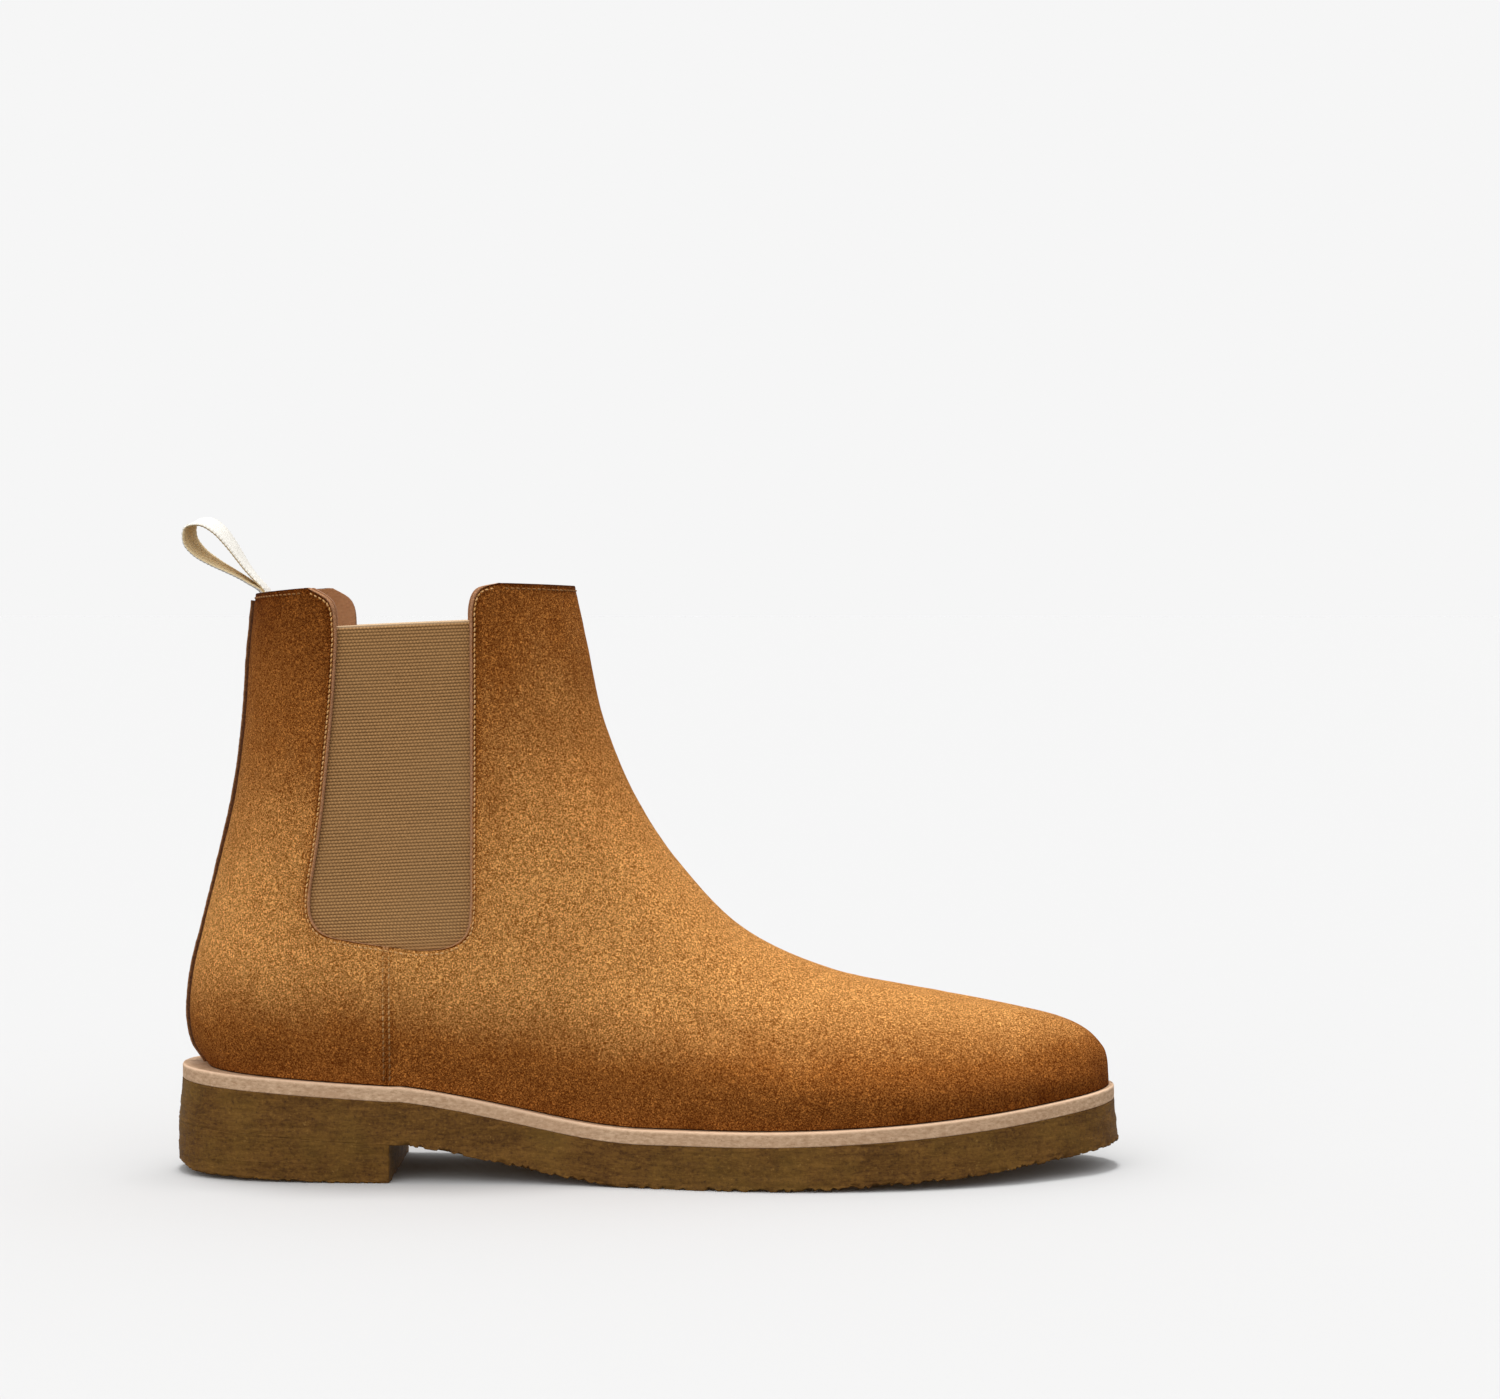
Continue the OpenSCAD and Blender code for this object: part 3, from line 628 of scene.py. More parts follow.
def suede_material(name, light, middle, deep):
    """Napped suede: crinkled grain, soft mottling, darkened by the tone attribute, which holds
    burnishing and painted shade.
    """
    g = Graph(name, Specular_IOR_Level=0.03)
    mottle = g.noise(48, 3, 0.55)
    brushed = g.noise(1, 3, 0.6, g.stretch(g.place, (170, 170, 60)))
    clump = g.noise(800, 2, 0.6, twist=0.5)
    grain = g.noise(2300, 2, 0.6, twist=1.3)
    nap = g.plus(g.times(clump, 0.10), g.times(grain, 0.90))
    nap = g.span(nap, 0.43, 0.585)
    shade = g.plus(g.attribute("tone"), g.times(g.math("SUBTRACT", mottle, 0.5), 0.34))
    shade = g.plus(shade, g.times(g.math("SUBTRACT", brushed, 0.5), 0.26), clamp=True)
    colour = g.ramp(shade, 0, 0.5, light, middle)
    colour = g.ramp(shade, 0.5, 1, colour, deep)
    # The nap's light flecks are partly the fibres' own colour and partly painted glints of light on
    # them.
    grain_and_glint = g.mix(nap, (0.42, 0.28, 0.15), (1.92, 2.03, 2.2))
    colour = g.mix(1.0, colour, grain_and_glint, "MULTIPLY")
    edge = g.mix(g.attribute("peach"), (0.085, 0.028, 0.009), (0.62, 0.315, 0.165))
    colour = g.mix(g.times(g.attribute("cut"), g.span(nap, 0, 1, 0.75, 1.0)), colour, edge)
    return g.done(colour, g.span(nap, 0, 1, 1.0, 0.85), g.bump(nap, 0.8, 0.0004))


def strip_material():
    g = Graph("suede_cut_strip", Specular_IOR_Level=0.2)
    fibres = g.noise(1500, 3, 0.7)
    colour = g.ramp(fibres, 0.35, 0.65, (0.050, 0.017, 0.006), (0.150, 0.058, 0.021))
    colour = g.mix(g.times(g.attribute("crest"), g.span(fibres, 0.3, 0.7)), colour,
                   (0.40, 0.18, 0.07))
    return g.done(colour, 0.92, g.bump(fibres, 0.8, 0.0003))


def elastic_material():
    """Ribbed elastic: crossing threads on every rib, with painted shade darkening it between the
    ribs.
    """
    g = Graph("ribbed_elastic", Specular_IOR_Level=0.05)
    x, y, _ = g.split(g.attribute("weave", vector=True))
    wobble = g.noise(260, 2, 0.5)
    row_number = g.math("FLOOR", y)
    shifted = g.plus(g.plus(x, g.times(row_number, 0.5)),
                     g.times(wobble, 0.5))
    thread = g.math("SINE", g.times(shifted, 2 * math.pi / 1.1))
    thread = g.span(thread, -1, 1)
    rib = g.attribute("rib")
    lint = g.noise(1700, 3, 0.7)
    # Painted shade: the colour darkens in the valleys between the ribs, by the rib attribute.
    bright = g.times(g.plus(g.times(rib, 0.65), g.times(thread, 0.35)),
                    g.span(lint, 0.3, 0.7, 0.72, 1.1), clamp=True)
    colour = g.mix(bright, (0.045, 0.018, 0.006), (0.60, 0.325, 0.128))
    tone = g.noise(30, 2, 0.5)
    colour = g.over(colour, (0.32, 0.185, 0.082), tone, 0.35, 0.7, 0.22)
    colour = g.mix(g.attribute("edge"), colour, (0.74, 0.53, 0.33))
    height = g.plus(thread, g.times(lint, 0.8))
    return g.done(colour, 0.88, g.bump(height, 0.55, 0.0002))


def lining_material():
    g = Graph("lining_leather", Specular_IOR_Level=0.45)
    pores = g.cells(1300)
    mottle = g.noise(60, 4, 0.6)
    fine = g.noise(900, 3, 0.6)
    colour = g.ramp(mottle, 0.3, 0.7, (0.40, 0.165, 0.060), (0.56, 0.265, 0.110))
    colour = g.over(colour, (0.27, 0.105, 0.038), fine, 0.4, 0.75, 0.35)
    colour = g.mix(g.attribute("cut"), colour, (0.30, 0.13, 0.055))
    normal = g.bump(pores, 0.22, 0.00025, g.bump(fine, 0.25, 0.0002))
    return g.done(colour, g.span(mottle, 0.3, 0.7, 0.42, 0.58), normal)


def webbing_material():
    """Cotton tape: a herringbone of fine diagonal threads."""
    g = Graph("cotton_webbing", Specular_IOR_Level=0.1)
    x, y, _ = g.split(g.attribute("weave", vector=True))
    zig = g.math("PINGPONG", x, 2.5)
    lines = g.math("SINE", g.times(g.plus(zig, y), 2 * math.pi / 0.8))
    cross = g.math("SINE", g.times(y, 2 * math.pi / 0.55))
    weave = g.span(g.plus(lines, g.times(cross, 0.4)), -1.4, 1.4)
    lint = g.noise(1500, 3, 0.6)
    colour = g.mix(g.span(weave, 0, 1, 0.25, 1.0), (0.80, 0.76, 0.66), (0.97, 0.95, 0.90))
    # Painted light: the inside face is a warm beige standing in for light bounced off the suede,
    # lightened to make up for its shade.
    bounce_lit_face = g.mix(weave, (0.72, 0.54, 0.29), (0.88, 0.70, 0.42))
    colour = g.mix(g.attribute("inside"), colour, bounce_lit_face)
    colour = g.mix(g.times(g.attribute("edge"), g.span(lint, 0.2, 0.8)), colour, (0.55, 0.47, 0.34))
    return g.done(colour, 0.92, g.bump(g.plus(weave, g.times(lint, 0.5)), 0.6, 0.0002))


def thread_material():
    g = Graph("waxed_thread", Specular_IOR_Level=0.06)
    x, y, _ = g.split(g.attribute("weave", vector=True))
    twist = g.math("SINE", g.plus(g.times(y, 9.0), x))
    ply = g.span(twist, -1, 1)
    colour = g.mix(ply, (0.50, 0.225, 0.055), (0.88, 0.50, 0.175))
    colour = g.over(colour, (0.95, 0.59, 0.28), g.attribute("tint"), 0, 1, 0.5)
    # Darker thread, by the dull attribute: burnishing, and painted shade near the sole.
    burnish_and_shade = g.mix(ply, (0.11, 0.038, 0.010), (0.22, 0.085, 0.026))
    colour = g.mix(g.attribute("dull"), colour, burnish_and_shade)
    return g.done(colour, 0.6, g.bump(ply, 0.5, 0.00012))


def crepe_material():
    """Natural crepe: thin rolled layers, amber in the light and olive in between."""
    g = Graph("crepe_rubber", Specular_IOR_Level=0.12)
    layers = g.noise(1, 4, 0.70, g.stretch(g.place, (260, 260, 1100)), twist=0.9)
    broad = g.noise(1, 3, 0.6, g.stretch(g.place, (95, 95, 170)))
    flecks = g.noise(900, 3, 0.78)
    clouds = g.noise(50, 3, 0.55)
    body = g.plus(g.times(layers, 0.38), g.times(broad, 0.27))
    body = g.plus(body, g.times(flecks, 0.35))
    colour = g.ramp(body, 0.40, 0.60, (0.066, 0.026, 0.005), (0.188, 0.088, 0.018))
    colour = g.over(colour, (0.182, 0.102, 0.018), clouds, 0.46, 0.72, 0.40)
    colour = g.over(colour, (0.32, 0.185, 0.060), flecks, 0.62, 0.76, 0.6)
    colour = g.over(colour, (0.034, 0.014, 0.004), flecks, 0.40, 0.27, 0.6)
    height = g.plus(g.times(layers, 0.8), g.times(flecks, 0.6))
    return g.done(colour, g.span(flecks, 0.3, 0.7, 0.62, 0.85), g.bump(height, 0.6, 0.0004))


def midsole_material():
    g = Graph("sole_leather", Specular_IOR_Level=0.1)
    fibres = g.noise(1, 4, 0.68, g.stretch(g.place, (500, 500, 1200)))
    pores = g.noise(1500, 3, 0.72)
    clouds = g.noise(40, 3, 0.5)
    colour = g.ramp(fibres, 0.32, 0.68, (0.42, 0.255, 0.145), (0.72, 0.50, 0.325))
    colour = g.over(colour, (0.50, 0.30, 0.175), clouds, 0.35, 0.7, 0.40)
    colour = g.over(colour, (0.22, 0.11, 0.055), pores, 0.60, 0.72, 0.65)
    # Painted highlight along the rounded top edge of the midsole.
    colour = g.mix(g.attribute("rim"), colour, (0.86, 0.60, 0.41))
    # Painted shade in the crease where the midsole runs under the upper.
    colour = g.mix(g.attribute("crease_shade"), colour, (0.13, 0.052, 0.020))
    return g.done(colour, 0.68, g.bump(g.plus(fibres, pores), 0.35, 0.00025))


def board_material(name, dark, light, scale):
    """Pressed fibre board or granulated cork."""
    g = Graph(name, Specular_IOR_Level=0.25)
    chips = g.cells(scale)
    fibres = g.noise(scale * 1.6, 4, 0.7)
    colour = g.mix(g.span(g.plus(chips, fibres), 0.35, 1.1), dark, light)
    return g.done(colour, 0.9, g.bump(g.plus(chips, fibres), 0.5, 0.0004))


def steel_material():
    g = Graph("spring_steel", Metallic=1.0)
    brushed = g.noise(1, 3, 0.6, g.stretch(g.place, (40, 2600, 2600)))
    stain = g.noise(90, 3, 0.6)
    colour = g.ramp(stain, 0.4, 0.7, (0.50, 0.50, 0.52), (0.36, 0.34, 0.33))
    return g.done(colour, g.span(brushed, 0.3, 0.7, 0.28, 0.45), g.bump(brushed, 0.15, 0.0001))


def foam_material():
    g = Graph("latex_foam", Specular_IOR_Level=0.2, Subsurface_Weight=0.08)
    cells = g.cells(1500)
    clouds = g.noise(60, 3, 0.5)
    colour = g.ramp(clouds, 0.3, 0.7, (0.62, 0.52, 0.34), (0.76, 0.68, 0.50))
    return g.done(colour, 0.9, g.bump(cells, 0.6, 0.0003))


SUEDE = suede_material("golden_suede", (0.66, 0.308, 0.086), (0.362, 0.126, 0.024),
                       (0.140, 0.033, 0.003))
STRIP = strip_material()
ELASTIC = elastic_material()
LINING = lining_material()
WEBBING = webbing_material()
THREAD = thread_material()
CREPE = crepe_material()
MIDSOLE = midsole_material()
FIBRE = board_material("fibre_board", (0.20, 0.135, 0.075), (0.46, 0.35, 0.22), 700)
CORK = board_material("cork_sheet", (0.14, 0.070, 0.028), (0.50, 0.32, 0.16), 480)
STEEL = steel_material()
FOAM = foam_material()


# ---- suede panels and linings ----

def humps(*parts):
    """Sum of bumps, each one (height, distance, centre, width, where it counts)."""
    return sum(height * hump(distance, centre, width) * where
               for height, distance, centre, width, where in parts)


def suede_panel(name, panel, node, gusset_sides):
    """A suede panel with rounded cut edges, slight waves and a trough along its stitching."""
    side = np.minimum.reduce(gusset_sides)
    at_gusset = smooth(panel.v, SEAM_SHARE - 0.02, SEAM_SHARE + 0.01)
    at_seam = 1 - at_gusset
    edge = np.minimum(side, np.minimum(panel.from_top, panel.from_bottom + 0.3))
    p = panel.p
    waves = 0.14 * noise(p, 17) + 0.06 * noise_b(p, 5) + 0.03 * noise(p, 1.7)
    waves = waves * smooth(edge, 0, 6)
    drop = np.maximum(rounded(side, mix(0.05, 0.55, at_gusset)), rounded(panel.from_top, 0.45))
    lip = 0.20 * hump(side, 0.62, 0.42) * at_gusset
    trough = humps((0.34, side, GUSSET_INSET, 0.50, at_gusset),
                   (0.10, panel.from_top, TOPLINE_INSET, 0.6, 1),
                   (0.22, side, 0.85, 0.55, at_seam))
    swell = 0.12 * hump(side, 4.0, 2.0) * at_gusset
    outer = panel.points(np.maximum(drop + trough - lip - swell - waves, -0.5))
    inner = panel.points(SUEDE_T - rounded(edge, 0.3))
    ragged = 0.22 * noise(p, 1.1) + 0.15 * noise_b(p, 2.7)
    cut = (1 - smooth(side + ragged * 0.5, 0.55, 1.0)) * at_gusset
    cut = np.maximum(cut, 1 - smooth(panel.from_top + ragged, 0.35, 0.95))
    # Painted shade: the tone is darkened in the stitching troughs and along the side seam.
    groove_shade = humps((0.80, side, GUSSET_INSET, 0.42, at_gusset), (0.12, side, 2.6, 1.2, at_gusset),
                   (0.18, side, 0, 0.35, at_seam), (0.12, side, 1.0, 0.7, at_seam))
    rim = hump(panel.from_top, 1.1, 1.3) * 0.35
    tone = np.clip(suede_burnish_and_shade(p) + groove_shade + rim, 0, 1)
    peach = np.where(panel.from_top < side, 0.0, 1.0)
    return shell_piece(name, panel, outer, inner, SUEDE, "suede", node,
                       tone=[tone, 0.75 + 0 * tone], cut=cut, peach=peach)


def lining_panel(name, panel, node):
    edge = panel.side_edge
    depth = lining_depth(panel.angle, panel.t)
    waves = 0.06 * noise(panel.p, 9) * smooth(edge, 0, 6)
    outer = panel.points(depth + rounded(edge, 0.25))
    inner = panel.points(depth + LINING_T - rounded(edge, 0.4) + waves)
    return shell_piece(name, panel, outer, inner, LINING, "lining", node,
                       cut=np.clip(1 - edge / 0.5, 0, 1))


vamp = Panel(vamp_place, 230, 120, 205, (SEAM_SHARE,))
quarter_l = Panel(quarter_place, 90, 130, 200, (SEAM_SHARE,))
quarter_m = Panel(quarter_place, 90, 130, 200, (SEAM_SHARE,), mirror=True)

suede_panel("vamp_suede", vamp, "vamp", [vamp.from_left, vamp.from_right])
suede_panel("lateral_quarter_suede", quarter_l, "lateral_quarter", [quarter_l.from_right])
suede_panel("medial_quarter_suede", quarter_m, "medial_quarter", [quarter_m.from_right])


SIDES = (("lateral", False), ("medial", True))
LINING_BACK_ANGLE = 0.1


lining_panel("vamp_lining_leather", Panel(vamp_place, 120, 90, 205, (SEAM_SHARE,)), "vamp_lining")
for side_name, flip in SIDES:
    lining_panel(side_name + "_quarter_lining_leather",
                 Panel(lambda v, u: quarter_place(v, u, LINING_BACK_ANGLE), 50, 90, 200,
                       (SEAM_SHARE,), mirror=flip),
                 side_name + "_quarter_lining")


# ---- back seam strip ----

def back_strip():
    """The cut edges of the back seam, proud of the heel, with a fine split down the middle."""
    steps = 420
    t = np.linspace(0.004, 0.988, steps)
    half = STRIP_W / 2
    section = [(-half, -0.9), (-half, 0.55), (-half * 0.86, 0.92), (-half * 0.5, 1.04),
               (-half * 0.14, 0.98), (0, 0.80), (half * 0.14, 0.98), (half * 0.5, 1.04),
               (half * 0.86, 0.92), (half, 0.55), (half, -0.9)]
    base, out = under(0 * t, t, 0 * t), outward(0 * t, t)
    out[:, 1] = 0
    out = unit(out)
    rings = np.empty((steps, len(section), 3))
    crest = np.zeros((steps, len(section)))
    for k, (y, r) in enumerate(section):
        rough = 0.05 * noise(base + [0, y * 3, 0], 1.1) + 0.05 * noise_b(base, 4)
        rings[:, k] = base + out * (r * STRIP_H * (1 + rough))[:, None]
        rings[:, k, 1] += y * (1 + 0.10 * noise_b(base + [0, y, 0], 1.6))
        crest[:, k] = 1.0 if r > 0.9 else 0.0
    n = len(section)
    index = np.arange(steps * n).reshape(steps, n)
    caps = np.array([[index[e, 0], index[e, k], index[e, k + 1]]
                     for e in (0, -1) for k in range(1, n - 1)])
    caps[:n - 2] = caps[:n - 2, ::-1]
    new_piece("back_seam_strip_suede", rings.reshape(-1, 3), [tube_faces(index), caps], STRIP,
              "boot", ("back_seam_strip",), {"crest": crest.ravel()})


back_strip()


# ---- elastic gussets ----

RIB = 1.0


def gusset(side_name, flip):
    height = ELASTIC_REAR[-1][1] - ELASTIC_FOOT
    panel = Panel(elastic_place, 46, int(height / RIB * 7), height, mirror=flip)
    level = panel.v * height
    rib = np.abs(np.sin(np.pi * (level + 0.12 * noise(panel.p, 25)) / RIB)) ** 0.8
    fade = smooth(panel.from_top, 0.3, 1.2)
    thread = 0.035 * np.sin(2 * np.pi * (panel.across / 1.1 + 0.5 * np.floor(level / RIB)))
    sag = (0.35 * np.sin(np.pi * np.clip(panel.v, 0, 1))
           * np.sin(np.pi * panel.across / panel.across[:, -1:]))
    lift = 0.26 * rib * fade + thread * fade
    edge = panel.side_edge
    outer = panel.points(MID_DEPTH + 0.12 + rounded(edge, 0.3) - lift + sag)
    inner = panel.points(MID_DEPTH + ELASTIC_T - 0.12 - rounded(edge, 0.3) + lift + sag)
    weave = np.stack([panel.across, level, 0 * level], -1)
    top = np.clip(1 - panel.from_top / 0.9, 0, 1)
    obj = shell_piece(side_name + "_gusset_elastic", panel, outer, inner, ELASTIC, "elastic",
                      side_name + "_gusset", weave=weave, rib=rib, edge=top)


for side_name, flip in SIDES:
    gusset(side_name, flip)


# ---- stitching ----

def stitches(line, normals, pitch=STITCH_PITCH, lean=0.1):
    """Points, faces and attributes of single stitches along a line of points."""
    both, _ = resample(np.concatenate([line, normals], 1), pitch)
    p, n = both[:, :3], unit(both[:, 3:])
    sides, rings = 6, 7
    s = np.linspace(0, 1, rings)
    rise = np.sin(np.pi * s) ** 0.55
    verts, weave, tint = [], [], []
    for k in range(len(p) - 1):
        a, b = mix(p[k], p[k + 1], 0.07), mix(p[k], p[k + 1], 0.93)
        up = unit(n[k] + n[k + 1])
        along = unit(b - a)
        across = np.cross(along, up)
        jitter = rng.uniform(-1, 1, 3)
        a, b = a - across * (lean + 0.05 * jitter[0]), b + across * (lean + 0.05 * jitter[1])
        shade = rng.random()
        for f, h in zip(s, rise):
            centre = mix(a, b, f) + up * (-0.30 + 0.44 * h)
            radius = THREAD_D / 2 * mix(0.72, 1.02 + 0.05 * jitter[2], h)
            turn = np.arange(sides) * 2 * np.pi / sides
            verts.append(centre + radius * (np.cos(turn)[:, None] * across
                                            + np.sin(turn)[:, None] * up))
            weave.append(np.stack([turn, np.full(sides, f * pitch), 0 * turn], 1))
            tint.append(np.full(sides, shade))
    count = len(p) - 1
    index = np.arange(count * rings * sides).reshape(count, rings, sides)
    fan = np.concatenate([index[:, 0, [0, k, k + 1]][:, ::-1] for k in range(1, sides - 1)]
                         + [index[:, -1, [0, k, k + 1]] for k in range(1, sides - 1)])
    return (np.concatenate(verts), tube_faces(index), fan, np.concatenate(weave),
            np.concatenate(tint))


def stitch_piece(name, lines, node, pitch=STITCH_PITCH, dull=0.0):
    """One piece of stitching from several lines of (points, normals)."""
    verts, faces, weave, tint, base = [], [], [], [], 0
    for line, normals in lines:
        v, sides, caps, w, c = stitches(line, normals, pitch)
        faces += [sides + base, caps + base]
        verts.append(v)
        weave.append(w)
        tint.append(c)
        base += len(v)
    verts = np.concatenate(verts)
    # Stitches darken towards the sole: partly burnishing and partly painted shade, as on the suede.
    burnish_and_shade = 0.85 * (1 - smooth(verts[:, 2] - feather(verts[:, 0]), 6, 34))
    return new_piece(name, verts, faces, THREAD, "boot", (node,),
                     {"weave": np.concatenate(weave), "tint": np.concatenate(tint),
                      "dull": np.maximum(burnish_and_shade, dull)})


def on_suede(angle, t, sink=0.1):
    n = outward(angle, t)
    return skin(angle, t) - sink * n, n


def on_lining(angle, t):
    n = outward(angle, t)
    depth = lining_depth(angle, t) + LINING_T
    return skin(angle, t) - depth[:, None] * n, -n


def beside(curve, u, inset):
    p = spline(curve, u)
    d = unit(spline(curve, np.minimum(u + 0.01, 1)) - spline(curve, np.maximum(u - 0.01, 0)))
    return p + inset * np.stack([d[:, 1], -d[:, 0]], 1)


for side_name, flip in SIDES:
    u = np.linspace(0, 1, 260)
    rear = beside(GUSSET_REAR, u[::-1][:-9], -GUSSET_INSET)
    front = beside(GUSSET_FRONT, u[9:], GUSSET_INSET)
    line = np.concatenate([rear, [[SEAM_X, SEAM_TOP - GUSSET_INSET]], front])
    line = line[line[:, 1] < spline(FRONT_Z, 1.0) - 0.5]
    spots = place(line)
    keep = spots[:, 1] < 0.992
    spots = spots[keep]
    turn = (lambda a: 360 - a) if flip else (lambda a: a)
    stitch_piece(side_name + "_gusset_stitches", [on_suede(turn(spots[:, 0]), spots[:, 1])],
                 side_name + "_gusset_stitching", GUSSET_PITCH, dull=0.1)
    rows_of_seam = []
    for dx in (-0.95, 0.95):
        z = np.linspace(float(feather(SEAM_X)) + 1.5, SEAM_TOP - 2.6, 40)
        spots = place(np.stack([np.full_like(z, SEAM_X + dx), z], 1))
        rows_of_seam.append(on_suede(turn(spots[:, 0]), spots[:, 1]))
    stitch_piece(side_name + "_side_seam_stitches", rows_of_seam,
                 side_name + "_side_stitching", dull=0.3)

front_edge = place(panel_edge(GUSSET_FRONT, np.array([1.0]), SEAM_GAP))[0, 0]
rear_edge = place(panel_edge(GUSSET_REAR, np.array([1.0]), -SEAM_GAP))[0, 0]
top_t = 1 - TOPLINE_INSET / SKIN_HEIGHT
front_angles = np.linspace(front_edge + 2.2, 360 - front_edge - 2.2, 160)
back_angles = np.linspace(2.6, rear_edge - 2.2, 100)
one = np.full_like(front_angles, top_t)
stitch_piece("front_topline_stitches", [on_suede(front_angles, one), on_lining(front_angles, one)],
             "front_topline_stitching", dull=0.8)
one = np.full_like(back_angles, top_t)
stitch_piece("back_topline_stitches",
             [f(a, one) for a in (back_angles, 360 - back_angles) for f in (on_suede, on_lining)],
             "back_topline_stitching", dull=0.8)


# ---- pull loop ----

def loop_line(u):
    """Middle line of the webbing, [x, z, distance up the loop]: up inside the heel, round
    the loop and down."""
    px, pz = LOOP_PIVOT
    c, s = math.cos(LOOP_LEAN), math.sin(LOOP_LEAN)
    lean = lambda along, across: [px - along * c + across * s, pz + along * s + across * c, along]
    up = [lean(a, b) for a, b in LOOP_HALF]
    down = [lean(a, -b) for a, b in LOOP_HALF[::-1]]
    sewn = [[[float(np.interp(z, BACK_Z[-3:], BACK_X[-3:])) + depth, z, 0] for z in SEWN_Z]
            for depth in SEWN_DEPTHS]
    return spline(sewn[0] + up + [lean(LOOP_LENGTH, 0)] + down + sewn[1][::-1], u)


def pull_loop():
    """One ribbon of cotton tape with corded edges."""
    fine = loop_line(np.linspace(0, 1, 900))
    path, at = resample(fine, 0.45)
    steps, cols = len(path), 34
    tangent = unit(np.gradient(path[:, :2], axis=0))
    normal = np.stack([-tangent[:, 1], tangent[:, 0]], 1)
    y = np.linspace(-1, 1, cols)
    edge_cord = hump(np.abs(y), 0.93, 0.06)
    beads = 0.5 + 0.5 * np.cos(2 * np.pi * at / 1.8)
    half = WEBBING_W / 2
    rings, inside, edge, weave = [], [], [], []
    for face in (1, -1):
        flat = np.sqrt(np.maximum(1 - np.abs(y) ** 14, 0))
        h = face * (WEBBING_T / 2 * flat + 0.14 * edge_cord * beads[:, None]
                    + 0.05 * np.sin(2 * np.pi * (y * half / 2.5)) * flat)
        wavy = 0.10 * np.cos(2 * np.pi * at / 1.8)[:, None] * np.sign(y) * (np.abs(y) > 0.96)
        twist = LOOP_TWIST * smooth(path[:, 2], 0, LOOP_LENGTH)[:, None]
        wide = y * half + wavy
        cupped = 0.25 * (1 - y ** 2) * smooth(path[:, 2:3], 2, 12)
        xz = path[:, None, :2] + normal[:, None, :] * (h + cupped)[..., None]
        # The twist turns each point about the loop's own axis, which leans back from the pivot
        c, s = math.cos(LOOP_LEAN), math.sin(LOOP_LEAN)
        rel = xz - np.array(LOOP_PIVOT)
        along = -rel[..., 0] * c + rel[..., 1] * s
        across = rel[..., 0] * s + rel[..., 1] * c
        turned = across * np.cos(twist) + wide * np.sin(twist)
        side = wide * np.cos(twist) - across * np.sin(twist)
        sewn = 1 - smooth(path[:, 2:3], 0, 4)
        x = LOOP_PIVOT[0] - along * c + turned * s + sewn * wide ** 2 / (2 * HEEL_CURVE)
        z = LOOP_PIVOT[1] + along * s + turned * c
        rings.append(np.stack([x, side, z], -1))
        inside.append(np.full((steps, cols), 1.0 if face > 0 else 0.0))
        edge.append(np.broadcast_to(edge_cord, (steps, cols)) * beads[:, None])
        weave.append(np.stack(np.broadcast_arrays(wide, at[:, None], 0.0), -1))
    obj = new_piece("pull_loop_webbing", two(rings), shell_faces(steps, cols), WEBBING, None,
                    ("pull_loop", "pull_loop_anchor"),
                    {"inside": two(inside), "edge": two(edge), "weave": two(weave)})
    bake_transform(obj)


pull_loop()


# ---- stiffeners ----

def stiffener(name, node, place_of):
    """A board between the suede and the lining, skived thin towards its edges."""
    panel = Panel(place_of, 90, 40, 40)
    edge = np.minimum(panel.side_edge, panel.from_bottom)
    thin = STIFFENER_T * 0.55 * (1 - smooth(edge, 0, 7)) / 2 + rounded(edge, 0.2)
    outer = panel.points(MID_DEPTH + thin)
    inner = panel.points(MID_DEPTH + STIFFENER_T - thin + 0.03 * noise(panel.p, 1.5))
    shell_piece(name, panel, outer, inner, FIBRE, "fibre_sheet", node)


def puff_place(v, u):
    return vamp_place(v * 6 / 22, mix(8 / 28, 20 / 28, u))


def counter_place(v, u):
    c = 2 * u - 1
    share = np.abs(c) * 8 / 9
    top = mix(0.37, 0.18, share ** 2)
    vv = top * v[:, None]
    rows_v = np.linspace(0, 0.4, 200)
    e = place(panel_edge(GUSSET_REAR, rows_v, -SEAM_GAP))
    angle_edge, t_edge = np.interp(vv, rows_v, e[:, 0]), np.interp(vv, rows_v, e[:, 1])
    return np.sign(c) * share * angle_edge, mix(vv ** 0.85, t_edge, share)


stiffener("toe_puff_board", "toe_puff", puff_place)
stiffener("heel_counter_board", "heel_counter", counter_place)


# ---- slabs: the sole and the inner bottom ----

